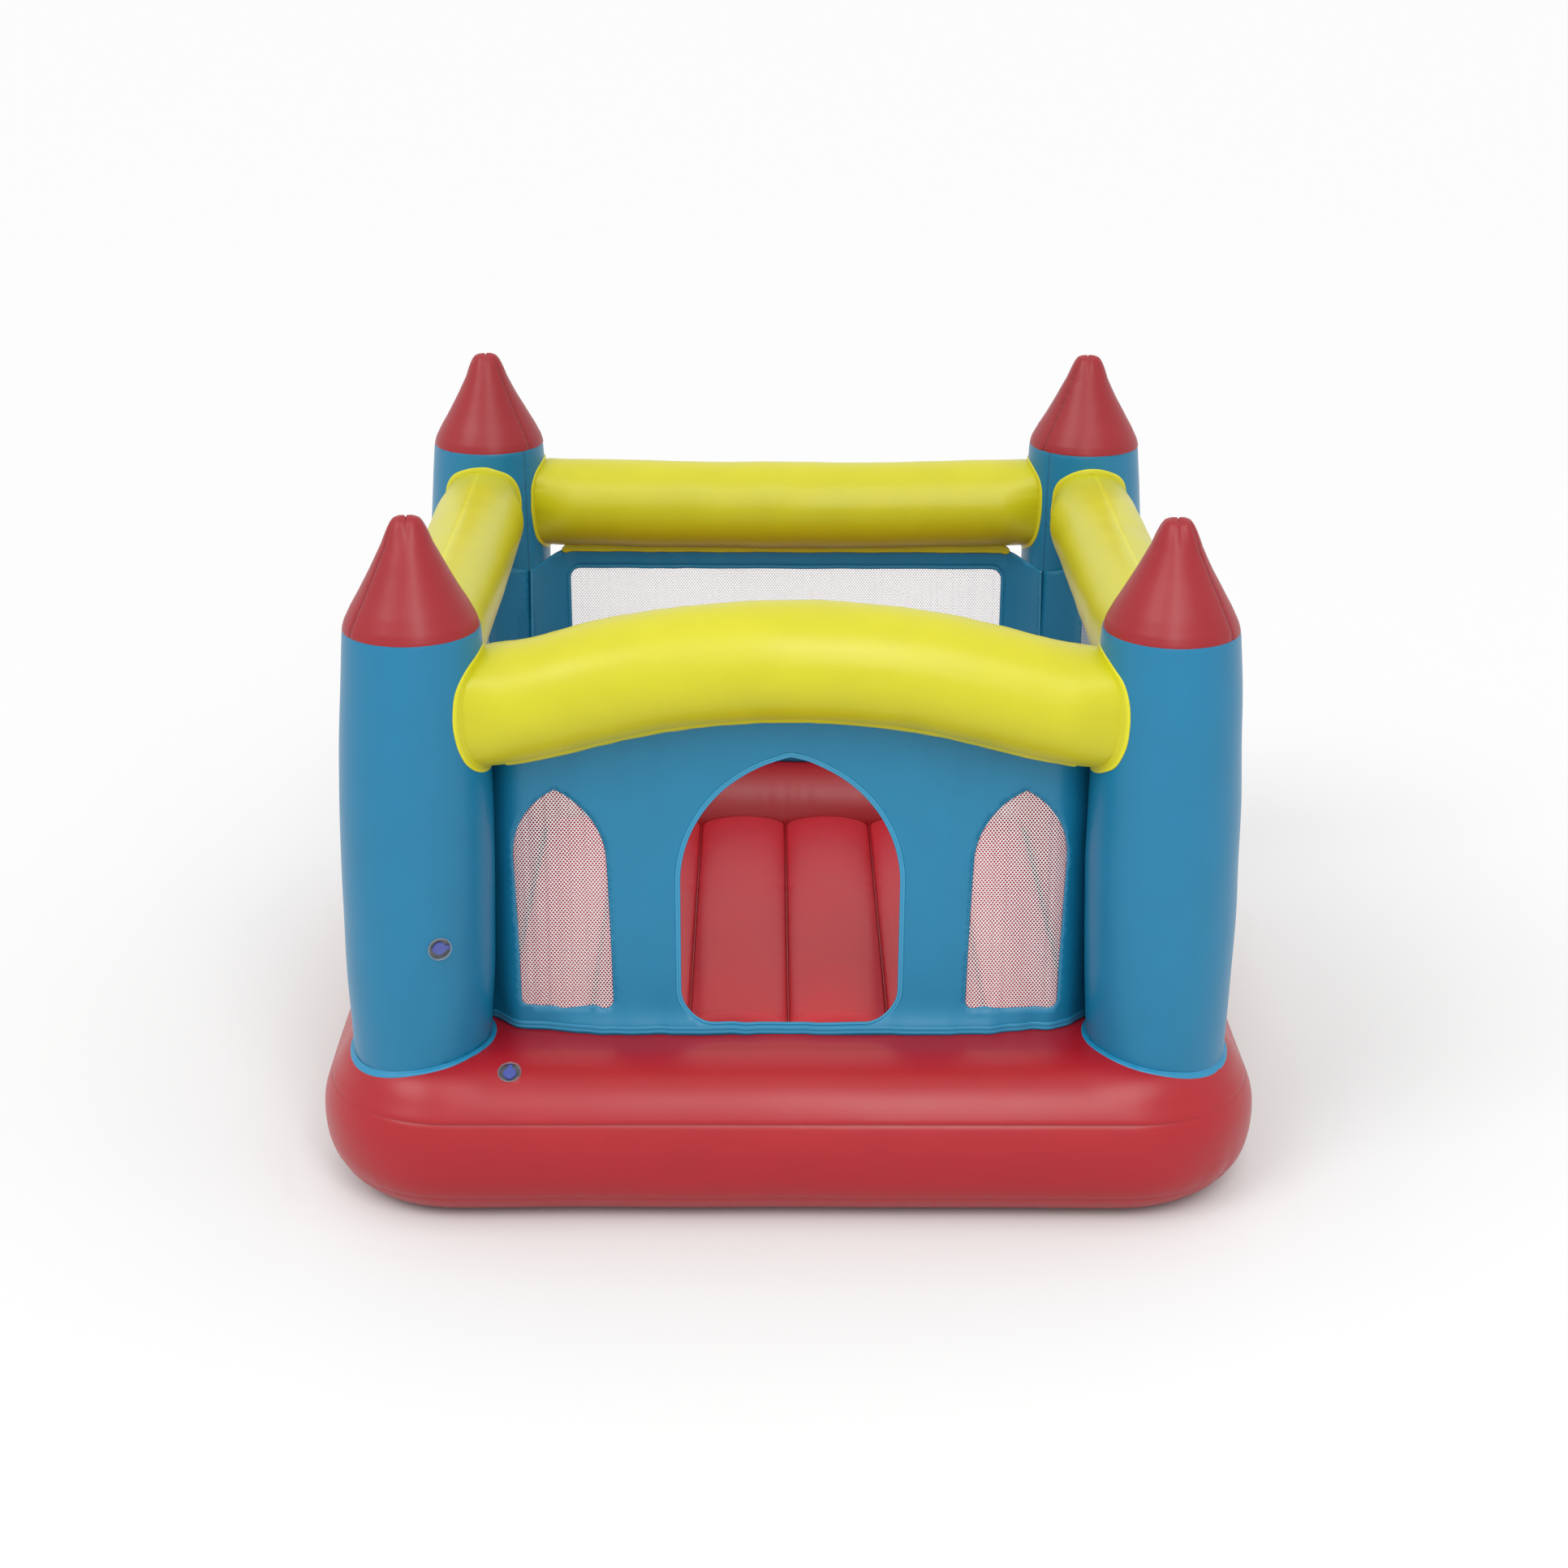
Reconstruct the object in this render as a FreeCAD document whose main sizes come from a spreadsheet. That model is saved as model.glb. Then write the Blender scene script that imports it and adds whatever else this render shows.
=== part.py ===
"""Inflatable bounce house: four corner towers on a ring-shaped base with a beamed floor, joined by
four padded bars that carry the wall panels. Millimetres, +Z up, origin on the ground at the centre
of the base, entrance at -Y."""

import math
import os
import re

import FreeCAD
import Part
import Sketcher

Vector = FreeCAD.Vector

SIZES = {
    # base ring
    "overall_width": 1750,
    "overall_depth": 1730,
    "base_height": 300,
    "ring_width": 325,
    "ring_corner": 250,
    "opening_corner": 75,
    "outer_round_share": 0.46667,
    "outer_foot_share": 0.36,
    "inner_round_share": 0.37333,
    "film": 2,
    "gap": 0.5,
    # bounce floor
    "floor_crown": 264,
    "floor_sag": 24,
    "seam_share": 0.3512,
    "web_film": 2,
    "web_hole_radius": 30,
    "web_hole_pitch": 250,
    # corner towers
    "tower_inset_side": 198,
    "tower_inset_end": 204,
    "foot_radius": 129,
    "belly_radius": 138,
    "belly_height": 680,
    "shoulder_radius": 121,
    "shoulder_height": 1100,
    "cone_height": 200,
    "cone_mid_radius": 90,
    "cone_mid_rise": 88,
    "cone_tip_radius": 24,
    "cone_tip_drop": 13,
    "weld_width": 9,
    "weld_film": 1.5,
    # bars between the towers
    "bar_radius": 97,
    "bar_height": 963,
    "arch_radius": 107,
    "arch_height": 942,
    "arch_rise": 95,
    "arch_end_bend": 1050,
    "arch_collar": 22,
    # wall panels, the strips they hang from, their corner seams and hems
    "strip_drop": 18,
    "strip_lap": 14,
    "panel_film": 1.5,
    "panel_setback": 15,
    "panel_clear": 3,
    "flat_clear": 27,
    "seam_drop": 22,
    "seam_reach": 6,
    "hem_height": 9,
    # openings in the panels
    "door_half_width": 202,
    "door_spring": 600,
    "door_top": 848,
    "door_sill": 322,
    "door_corner": 62,
    "door_rim_width": 9,
    "window_offset": 415,
    "window_half_width": 86,
    "window_spring": 645,
    "window_top": 784,
    "window_sill": 347,
    "window_corner": 14,
    "screen_margin": 195,
    "screen_top": 834,
    "screen_sill": 400,
    "screen_corner": 26,
    "mesh_film": 1,
    "mesh_lap": 7,
    # air valves
    "valve_radius": 21.8,
    "dish_radius": 18.9,
    "dish_wall": 0.8,
    "dish_depth": 5,
    "valve_plate": 1.2,
    "valve_rise": 0.8,
    "guide_radius": 8.8,
    "guide_wall": 1.4,
    "guide_depth": 21,
    "stem_radius": 8.4,
    "stem_bore": 4.6,
    "stem_flange": 12.3,
    "stem_plate": 1.5,
    "stem_travel": 14,
    "stop_radius": 11,
    "cap_radius": 11.4,
    "cap_thickness": 1.8,
    "cap_tab": 18.2,
    "cap_tab_half": 4.2,
    "hinge_offset": 13.2,
    "plug_radius": 4.1,
    "plug_tip_radius": 3.1,
    "plug_length": 5.5,
    "valve_gap": 0.4,
    "flap_radius": 5.4,
    "flap_film": 0.8,
    "flap_tab": 7.4,
    # where the valves sit
    "base_valve_side": 512,
    "base_valve_tilt": 27,
    "tower_valve_height": 534,
    "tower_valve_turn": 21,
}

DERIVED = {
    "outer_round": "(base_height * outer_round_share)",
    "outer_foot": "(base_height * outer_foot_share)",
    "inner_round": "(base_height * inner_round_share)",
    "flat_margin": "(belly_radius + flat_clear)",
    "foot_slope": "((belly_radius - foot_radius) / (belly_height - base_height))",
    "shoulder_slope": "((shoulder_radius - belly_radius) / (shoulder_height - belly_height))",
    "barrel_bow": "((shoulder_slope - foot_slope) / (shoulder_height - base_height))",
    "valve_lift": "(tower_valve_height - base_height)",
    "valve_slope": "(foot_slope + barrel_bow * (tower_valve_height - belly_height))",
    "tower_valve_reach": "(foot_radius + valve_lift * valve_slope)",
    "tower_x": "(overall_width / 2 - tower_inset_side)",
    "tower_y": "(overall_depth / 2 - tower_inset_end)",
    "floor_x": "(overall_width / 2 - ring_width - gap)",
    "floor_y": "(overall_depth / 2 - ring_width - gap)",
    "tip_height": "(shoulder_height + cone_height)",
    "panel_x": "(tower_x - panel_setback)",
    "panel_y": "(tower_y - panel_setback)",
    "seam_offset": "((belly_radius + panel_clear) * sqrt(0.5))",
    "bar_low": "(bar_height - bar_radius - strip_drop)",
    "dish_outer": "(dish_radius + dish_wall)",
    "stem_top": "(valve_gap + stem_plate - dish_depth)",
    "stem_low": "(-dish_depth - guide_depth - stem_travel - valve_gap - stem_plate)",
}

doc = FreeCAD.newDocument("bounce_house")
sheet = doc.addObject("Spreadsheet::Sheet", "sizes")
nodes = {}


def fill_sheet():
    for row, (name, value) in enumerate(SIZES.items(), start=1):
        sheet.set(f"A{row}", name)
        sheet.set(f"B{row}", str(value))
        sheet.setAlias(f"B{row}", name)
    doc.recompute()


def bound(text):
    """A formula in size names, as an expression that reads the spreadsheet's cells."""
    for name, formula in reversed(DERIVED.items()):
        text = re.sub(rf"\b{name}\b", formula, text)
    return re.sub(
        r"\b[a-z][a-z_]*\b",
        lambda word: "sizes." + word.group(0) if word.group(0) in SIZES else word.group(0),
        text,
    )


def size(text):
    """The number that a formula in size names has now."""
    found = ruler.evalExpression(bound(text))
    return float(getattr(found, "Value", found))


def keep(feature, label):
    """Makes a finished feature one of the object's pieces."""
    feature.Label = label
    nodes[label] = feature
    return feature


# ---------------------------------------------------------------- sketches and simple features


def origin_part(body, role):
    return next(part for part in body.Origin.OriginFeatures if part.Role == role)


def outline(body, name, plane, corners, bends=None, lift=None):
    """A closed sketch through corners, each dimensioned from the origin. bends maps a corner's
    number to a point that the arc to the next corner passes through."""
    sketch = body.newObject("Sketcher::SketchObject", name)
    sketch.AttachmentSupport = [(origin_part(body, plane), "")]
    sketch.MapMode = "FlatFace"
    if lift:
        sketch.setExpression(".AttachmentOffset.Base.z", bound(lift))
    bends = bends or {}
    points = [Vector(size(x), size(y), 0) for x, y in corners]

    def dimension(geometry, end, place):
        for kind, text in zip(("DistanceX", "DistanceY"), place):
            rule = Sketcher.Constraint(kind, -1, 1, geometry, end, size(text))
            sketch.setExpression(f"Constraints[{sketch.addConstraint(rule)}]", bound(text))

    ends = []
    for i, start in enumerate(points):
        stop = points[(i + 1) % len(points)]
        if i in bends:
            middle = Vector(size(bends[i][0]), size(bends[i][1]), 0)
            edge = sketch.addGeometry(Part.Arc(start, middle, stop), False)
        else:
            edge = sketch.addGeometry(Part.LineSegment(start, stop), False)
        first = 1 if sketch.getPoint(edge, 1).distanceToPoint(start) < 1e-4 else 2
        ends.append((edge, first, 3 - first))
    for i, (edge, first, last) in enumerate(ends):
        following = ends[(i + 1) % len(ends)]
        sketch.addConstraint(
            Sketcher.Constraint("Coincident", edge, last, following[0], following[1])
        )
    for (edge, first, last), place in zip(ends, corners):
        dimension(edge, first, place)
    for i, place in bends.items():
        middle = Vector(size(place[0]), size(place[1]), 0)
        on_arc = sketch.addGeometry(Part.Point(middle), True)
        sketch.addConstraint(Sketcher.Constraint("PointOnObject", on_arc, 1, ends[i][0]))
        dimension(on_arc, 1, place)
    return sketch


def revolved(name, corners, bends=None):
    """A body turned about Z from a half profile in the XZ plane."""
    body = doc.addObject("PartDesign::Body", name)
    sketch = outline(body, name + "_profile", "XZ_Plane", corners, bends)
    turn = body.newObject("PartDesign::Revolution", name + "_turn")
    turn.Profile = sketch
    turn.ReferenceAxis = (origin_part(body, "Z_Axis"), [""])
    turn.Angle = 360
    return body


def move(feature, x="0", y="0", z="0"):
    for axis, text in zip("xyz", (x, y, z)):
        feature.setExpression(f".Placement.Base.{axis}", bound(text))
    return feature


def cut(name, base, *tools):
    for i, tool in enumerate(tools):
        step = doc.addObject("Part::Cut", f"{name}_{i}")
        step.Base = base
        step.Tool = tool
        base = step
    return base


def common(name, base, tool):
    both = doc.addObject("Part::Common", name)
    both.Base = base
    both.Tool = tool
    return both


def group(name, shapes):
    together = doc.addObject("Part::Compound", name)
    together.Links = shapes
    return together


def mirrored(name, source, normal):
    image = doc.addObject("Part::Mirroring", name)
    image.Source = source
    image.Normal = normal
    return image


def rod(name, radius, length):
    rod_shape = doc.addObject("Part::Cylinder", name)
    rod_shape.setExpression("Radius", bound(radius))
    rod_shape.setExpression("Height", bound(length))
    return rod_shape


def block(name, low, high):
    """A box between two corners, each three formulas."""
    box = doc.addObject("Part::Box", name)
    for side, a, b in zip(("Length", "Width", "Height"), low, high):
        box.setExpression(side, bound(f"({b}) - ({a})"))
    return move(box, *low)


def fixed(name, shape):
    """A feature whose shape is made by Part's own functions from the sheet's sizes."""
    feature = doc.addObject("Part::Feature", name)
    feature.Shape = shape
    return feature


# ---------------------------------------------------------------- base ring and floor


def rounded_rectangle(half_x, half_y, corner):
    """Corners and bends of a rectangle with round corners, counterclockwise."""
    inset = f"({corner}) * (1 - sqrt(0.5))"
    corners, bends = [], {}
    for i, (sx, sy, along) in enumerate(
        (("", "-", "y"), ("", "", "x"), ("-", "", "y"), ("-", "-", "x"))
    ):
        x, y = f"{sx}(({half_x}))", f"{sy}(({half_y}))"
        x_in, y_in = f"{sx}(({half_x}) - ({corner}))", f"{sy}(({half_y}) - ({corner}))"
        pair = [(x_in, y), (x, y_in)] if along == "y" else [(x, y_in), (x_in, y)]
        corners += pair
        bends[2 * i] = (
            f"{sx}(({half_x}) - {inset})",
            f"{sy}(({half_y}) - {inset})",
        )
    return corners, bends


def level_edges(feature, outer, upper=None):
    """The names of the ring's level edges, those around its outside or around its opening, and
    only those of its top or of its underside if upper is given."""
    doc.recompute()
    reach = size("(overall_width - ring_width) / 2")
    depth = size("(overall_depth - ring_width) / 2")
    found = []
    for i, edge in enumerate(feature.Shape.Edges, start=1):
        box = edge.BoundBox
        beyond = max(abs(box.XMin), abs(box.XMax)) > reach or max(abs(box.YMin), abs(box.YMax)) > depth
        if box.ZLength > 1e-6 or beyond != outer:
            continue
        if upper is None or (box.ZMax > size("base_height / 2")) == upper:
            found.append(f"Edge{i}")
    return found


def ring(name, grow):
    """The base ring as one solid, grown all round by a formula. A negative growth gives the
    space for the air."""
    body = doc.addObject("PartDesign::Body", name)
    outer = rounded_rectangle(
        f"overall_width / 2 + ({grow})",
        f"overall_depth / 2 + ({grow})",
        f"ring_corner + ({grow})",
    )
    sketch = outline(body, name + "_outer", "XY_Plane", *outer, lift=f"-({grow})")
    pad = body.newObject("PartDesign::Pad", name + "_pad")
    pad.Profile = sketch
    pad.setExpression("Length", bound(f"base_height + 2 * ({grow})"))
    inner = rounded_rectangle(
        f"overall_width / 2 - ring_width - ({grow})",
        f"overall_depth / 2 - ring_width - ({grow})",
        f"opening_corner - ({grow})",
    )
    hole = outline(body, name + "_inner", "XY_Plane", *inner, lift=f"-({grow})")
    pocket = body.newObject("PartDesign::Pocket", name + "_pocket")
    pocket.Profile = hole
    pocket.Type = "ThroughAll"
    pocket.Reversed = True
    feature = pocket
    for label, outer, upper in (
        ("outer_round", True, True), ("outer_foot", True, False), ("inner_round", False, None)
    ):
        rounded = body.newObject("PartDesign::Fillet", f"{name}_{label}")
        rounded.Base = (feature, level_edges(feature, outer, upper))
        rounded.setExpression("Radius", bound(f"{label} + ({grow})"))
        feature = rounded
    return body


FLOOR_SEAMS = (-2, -1, 0, 1, 2)


def floor_solid(name, shrink):
    """The floor's cushion: a flat underside and a row of crowned cells running front to back,
    within a rectangle with round corners."""
    half = size(f"floor_x - ({shrink})")
    low = size(shrink)
    crown = size(f"floor_crown - ({shrink})")
    valley = size(f"floor_crown - floor_sag - ({shrink})")
    seams = [half] + [-n * size("seam_share * floor_x") for n in FLOOR_SEAMS] + [-half]
    edges = []
    for right, left in zip(seams, seams[1:]):
        top = Vector((left + right) / 2, 0, crown)
        edges.append(Part.Arc(Vector(right, 0, valley), top, Vector(left, 0, valley)).toShape())
    corners = [(-half, valley), (-half, low), (half, low), (half, valley)]
    for (x0, z0), (x1, z1) in zip(corners, corners[1:]):
        edges.append(Part.makeLine(Vector(x0, 0, z0), Vector(x1, 0, z1)))
    face = Part.Face(Part.Wire(Part.__sortEdges__(edges)))
    cells = doc.addObject("Part::Extrusion", name + "_cells")
    cells.Base = fixed(name + "_profile", face)
    cells.DirMode = "Custom"
    cells.Dir = Vector(0, 1, 0)
    cells.Solid = True
    for side in ("LengthFwd", "LengthRev"):
        cells.setExpression(side, bound("overall_depth / 2"))
    body = doc.addObject("PartDesign::Body", name + "_bounds")
    plan = rounded_rectangle(
        f"floor_x - ({shrink})", f"floor_y - ({shrink})", f"opening_corner - gap - ({shrink})"
    )
    pad = body.newObject("PartDesign::Pad", name + "_bounds_pad")
    pad.Profile = outline(body, name + "_plan", "XY_Plane", *plan)
    pad.setExpression("Length", bound("base_height"))
    return common(name, cells, body)


def floor_webs():
    """The upright webs between the floor's cells, each with a row of holes that lets air pass."""
    webs = []
    for i in FLOOR_SEAMS:
        x = f"{i} * seam_share * floor_x"
        label = f"web_{i - FLOOR_SEAMS[0] + 1}"
        web = block(
            label,
            (f"{x} - web_film / 2", "-(floor_y - film - gap)", "film + gap"),
            (f"{x} + web_film / 2", "floor_y - film - gap", "floor_crown - floor_sag - film - 2 * gap"),
        )
        holes = []
        for n, along in enumerate((-1.5, -0.5, 0.5, 1.5), start=1):
            hole = rod(f"{label}_hole_{n}", "web_hole_radius", "4 * web_film")
            hole.Placement.Rotation = FreeCAD.Rotation(Vector(0, 1, 0), 90)
            move(hole, f"{x} - 2 * web_film", f"{along} * web_hole_pitch", "floor_crown / 2")
            holes.append(hole)
        webs.append(cut(f"{label}_cut", web, *holes))
    return group("webs", webs)


# ---------------------------------------------------------------- towers


def column(name, grow, top, low="base_height / 2"):
    """A tower's barrel as one solid about its own axis, grown radially."""
    corners = [
        ("0", low),
        (f"foot_radius + ({grow})", low),
        (f"foot_radius + ({grow})", "base_height"),
        (f"shoulder_radius + ({grow})", "shoulder_height"),
        (f"shoulder_radius + ({grow})", top),
        ("0", top),
    ]
    bends = {2: (f"belly_radius + ({grow})", "belly_height")}
    if top == "shoulder_height":
        del corners[4]
    barrel = revolved(name, corners, bends)
    return move(barrel, "-tower_x", "-tower_y")


def cone_shell():
    """The pointed roof of a tower: a closed film, open underneath, with a small flat on its tip."""
    corners = [
        ("shoulder_radius - film", "shoulder_height"),
        ("shoulder_radius", "shoulder_height"),
        ("cone_tip_radius", "tip_height - cone_tip_drop"),
        ("cone_tip_radius / 4", "tip_height"),
        ("0", "tip_height"),
        ("0", "tip_height - film"),
        ("cone_tip_radius / 4", "tip_height - film"),
        ("cone_tip_radius - film", "tip_height - cone_tip_drop - film"),
    ]
    bends = {
        1: ("cone_mid_radius", "shoulder_height + cone_mid_rise"),
        2: ("cone_tip_radius * 0.7", "tip_height - cone_tip_drop * 0.35"),
        6: ("(cone_tip_radius - film / 2) * 0.7", "tip_height - cone_tip_drop * 0.35 - film"),
        7: ("cone_mid_radius - film", "shoulder_height + cone_mid_rise"),
    }
    return move(revolved("cone", corners, bends), "-tower_x", "-tower_y")


def at_corners(name, source):
    """The piece of the front left corner, repeated at all four, as {corner: feature}."""
    across = mirrored(name + "_x", source, Vector(1, 0, 0))
    behind = mirrored(name + "_y", source, Vector(0, 1, 0))
    both = mirrored(name + "_xy", behind, Vector(1, 0, 0))
    return {"front_left": source, "front_right": across, "rear_left": behind, "rear_right": both}


# ---------------------------------------------------------------- bars


def straight_bar(name, grow, lengthwise):
    """A bar's solid from tower axis to tower axis, along X at the rear or along Y at the left."""
    half = "tower_x" if lengthwise == "x" else "tower_y"
    bar = rod(name, f"bar_radius + ({grow})", f"2 * {half}")
    if lengthwise == "x":
        bar.Placement.Rotation = FreeCAD.Rotation(Vector(0, 1, 0), 90)
        return move(bar, "-tower_x", "tower_y", "bar_height")
    bar.Placement.Rotation = FreeCAD.Rotation(Vector(1, 0, 0), -90)
    return move(bar, "-tower_x", "-tower_y", "bar_height")


def arch_line(drop):
    """The front bar's centreline, lowered square to itself: a hump between two end bends."""
    drop, span, rise = size(drop), size("tower_x"), size("arch_rise")
    low, end_bend = size("arch_height"), size("arch_end_bend")
    turn = 2 * math.atan(rise / span)
    hump = span / math.sin(turn) - end_bend

    def on_hump(angle):
        reach = hump - drop
        return Vector(reach * math.sin(angle), 0, low + rise - hump + reach * math.cos(angle))

    def on_end(angle, side):
        reach = end_bend + drop
        return Vector(side * (span - reach * math.sin(angle)), 0, low + end_bend - reach * math.cos(angle))

    left = [on_end(0, -1), on_end(turn / 2, -1), on_end(turn, -1)]
    right = [on_end(turn, 1), on_end(turn / 2, 1), on_end(0, 1)]
    middle = [left[2], on_hump(0), right[0]]
    return [Part.Arc(*points).toShape() for points in (left, middle, right)]


def arch_bar(name, grow):
    path = Part.Wire(arch_line("0"))
    start = path.OrderedVertexes[0].Point
    section = Part.Wire(Part.makeCircle(size(f"arch_radius + ({grow})"), start, Vector(1, 0, 0)))
    return move(fixed(name, path.makePipeShell([section], True, False)), "0", "-tower_y")


def arch_face(name, high, low):
    """The upright area under the arch line lowered by high, and above a level or a lowered line."""
    top = Part.Wire(arch_line(high))
    if low.startswith("level "):
        floor = size(low[6:])
        ends = [top.OrderedVertexes[-1].Point, top.OrderedVertexes[0].Point]
        feet = [Vector(point.x, 0, floor) for point in ends]
        bottom = [Part.makeLine(feet[0], feet[1])]
    else:
        lower = Part.Wire(arch_line(low))
        bottom = lower.Edges
        feet = [lower.OrderedVertexes[-1].Point, lower.OrderedVertexes[0].Point]
        ends = [top.OrderedVertexes[-1].Point, top.OrderedVertexes[0].Point]
    sides = [Part.makeLine(ends[0], feet[0]), Part.makeLine(feet[1], ends[1])]
    edges = Part.__sortEdges__(top.Edges + sides + bottom)
    slab = doc.addObject("Part::Extrusion", name)
    slab.Base = fixed(name + "_outline", Part.Face(Part.Wire(edges)))
    slab.DirMode = "Custom"
    slab.Dir = Vector(0, 1, 0)
    slab.Solid = True
    slab.setExpression("LengthRev", bound("overall_depth / 2"))
    slab.LengthFwd = 0
    return slab


# ---------------------------------------------------------------- wall panels


def band_corners(low, high):
    """Plan of a wall's film between two distances outside its middle plane: a straight run with
    its ends bent back to the seams on the two towers. As written it runs along X at the rear."""
    half = []
    for side in (high, low):
        half.append((f"tower_x - flat_margin + 0.5 * ({side})", f"panel_y + ({side})"))
        half.append((
            f"tower_x - seam_offset - 1.5 + 0.8 * ({side})",
            f"tower_y - seam_offset + 1.5 + 0.6 * ({side})",
        ))
    (bend_high, end_high), (bend_low, end_low) = half[:2], half[2:]
    right = [bend_high, end_high, end_low, bend_low]
    left = [(f"-({x})", y) for x, y in right]
    return right + left[::-1]


def swapped(text):
    """The same formula with the object's width and depth exchanged."""
    pairs = {"tower_x": "tower_y", "tower_y": "tower_x", "panel_x": "panel_y", "panel_y": "panel_x"}
    return re.sub(r"\b[a-z][a-z_]*\b", lambda word: pairs.get(word.group(0), word.group(0)), text)


def band(name, wall, low, high, bottom, top):
    """A film standing on the plan of a wall, between two levels."""
    corners = band_corners(low, high)
    if wall == "front":
        corners = [(x, f"-({y})") for x, y in corners]
    if wall in ("left", "right"):
        sign = "-" if wall == "left" else ""
        corners = [(f"{sign}({swapped(y)})", swapped(x)) for x, y in corners]
    body = doc.addObject("PartDesign::Body", name)
    sketch = outline(body, name + "_plan", "XY_Plane", corners, lift=bottom)
    pad = body.newObject("PartDesign::Pad", name + "_pad")
    pad.Profile = sketch
    pad.setExpression("Length", bound(f"({top}) - ({bottom})"))
    return body


def pointed(centre, half, sill, spring, top, corner, grow="0"):
    """Corners and bends of a doorway with a pointed arch, grown all round by a formula."""
    half, corner = f"({half} + {grow})", f"({corner} + {grow})"
    sill, top = f"({sill} - {grow})", f"({top} + {grow})"
    cut_in = f"{corner} * (1 - sqrt(0.5))"
    corners = [
        (f"{centre} - {half} + {corner}", sill),
        (f"{centre} + {half} - {corner}", sill),
        (f"{centre} + {half}", f"{sill} + {corner}"),
        (f"{centre} + {half}", spring),
        (centre, top),
        (f"{centre} - {half}", spring),
        (f"{centre} - {half}", f"{sill} + {corner}"),
    ]
    shoulder = f"{spring} + 0.645 * ({top} - {spring})"
    bends = {
        1: (f"{centre} + {half} - {cut_in}", f"{sill} + {cut_in}"),
        3: (f"{centre} + 0.72 * {half}", shoulder),
        4: (f"{centre} - 0.72 * {half}", shoulder),
        6: (f"{centre} - {half} + {cut_in}", f"{sill} + {cut_in}"),
    }
    return corners, bends


def screen(half, grow="0"):
    """Corners and bends of the upright rounded rectangle of a rear or side mesh window."""
    width, corner = f"({half} - screen_margin + {grow})", f"(screen_corner + {grow})"
    low, high = f"(screen_sill - {grow})", f"(screen_top + {grow})"
    cut_in = f"{corner} * (1 - sqrt(0.5))"
    corners, bends = [], {}
    for i, (side, level, inward, across) in enumerate(
        (("", low, "+", False), ("", high, "-", True), ("-", high, "-", False), ("-", low, "+", True))
    ):
        level_end = (f"{side}({width} - {corner})", level)
        side_end = (f"{side}{width}", f"{level} {inward} {corner}")
        corners += [side_end, level_end] if across else [level_end, side_end]
        bends[2 * i] = (f"{side}({width} - {cut_in})", f"{level} {inward} {cut_in}")
    return corners, bends


def slab(name, plane, shape, low, high):
    """An upright outline given thickness across the wall, between two distances from the middle
    of the object."""
    body = doc.addObject("PartDesign::Body", name)
    turned = "-1 * " if plane == "XZ_Plane" else ""
    nearest = high if turned else low
    sketch = outline(body, name + "_outline", plane, *shape, lift=f"{turned}({nearest})")
    pad = body.newObject("PartDesign::Pad", name + "_pad")
    pad.Profile = sketch
    pad.setExpression("Length", bound(f"({high}) - ({low})"))
    return body


# ---------------------------------------------------------------- air valves


def place(body, spot):
    """Puts a valve piece, made about the Z axis, at a valve's seat on the film."""
    position, turn_z, tilt, roll = spot
    for axis, text in zip("xyz", position):
        body.setExpression(f".Placement.Base.{axis}", bound(text))
    spin = FreeCAD.Rotation(Vector(0, 0, 1), size(turn_z))
    lean = FreeCAD.Rotation(Vector(1, 0, 0), size(tilt))
    about = FreeCAD.Rotation(Vector(0, 0, 1), size(roll))
    body.Placement.Rotation = spin.multiply(lean).multiply(about)
    return body


def valve_seat(name, spot):
    corners = [
        ("guide_radius", "-dish_depth - guide_depth"),
        ("guide_radius + guide_wall", "-dish_depth - guide_depth"),
        ("guide_radius + guide_wall", "-dish_depth - valve_plate"),
        ("dish_outer", "-dish_depth - valve_plate"),
        ("dish_outer", "valve_rise"),
        ("valve_radius", "valve_rise"),
        ("valve_radius", "valve_rise + valve_plate"),
        ("dish_radius", "valve_rise + valve_plate"),
        ("dish_radius", "-dish_depth"),
        ("guide_radius", "-dish_depth"),
    ]
    return keep(place(revolved(name, corners), spot), name)


def tab(body, name, near, far, low, high):
    """A flat tongue of a valve piece, between two distances along X."""
    corners = [
        (near, "-cap_tab_half"),
        (far, "-cap_tab_half"),
        (far, "cap_tab_half"),
        (near, "cap_tab_half"),
    ]
    sketch = outline(body, name + "_plan", "XY_Plane", corners, lift=low)
    pad = body.newObject("PartDesign::Pad", name)
    pad.Profile = sketch
    pad.setExpression("Length", bound(f"({high}) - ({low})"))


def valve_stem(name, spot):
    corners = [
        ("stem_bore", "stem_low"),
        ("stop_radius", "stem_low"),
        ("stop_radius", "stem_low + stem_plate"),
        ("stem_radius", "stem_low + stem_plate"),
        ("stem_radius", "stem_top - stem_plate"),
        ("stem_flange", "stem_top - stem_plate"),
        ("stem_flange", "stem_top"),
        ("stem_bore", "stem_top"),
    ]
    body = revolved(name, corners)
    tab(body, name + "_lug", "-hinge_offset", "-stem_flange + 1", "stem_top - stem_plate", "stem_top")
    return keep(place(body, spot), name)


def valve_cap(name, spot):
    under = "stem_top + valve_gap"
    corners = [
        ("0", f"{under} - plug_length"),
        ("plug_tip_radius", f"{under} - plug_length"),
        ("plug_radius", under),
        ("cap_radius", under),
        ("cap_radius", f"{under} + cap_thickness"),
        ("0", f"{under} + cap_thickness"),
    ]
    body = revolved(name, corners)
    tab(body, name + "_pull", "cap_radius - 1", "cap_tab", under, f"{under} + cap_thickness / 2")
    tab(body, name + "_hinge", "-hinge_offset", "-cap_radius + 1", under, f"{under} + cap_thickness")
    return keep(place(body, spot), name)


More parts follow.
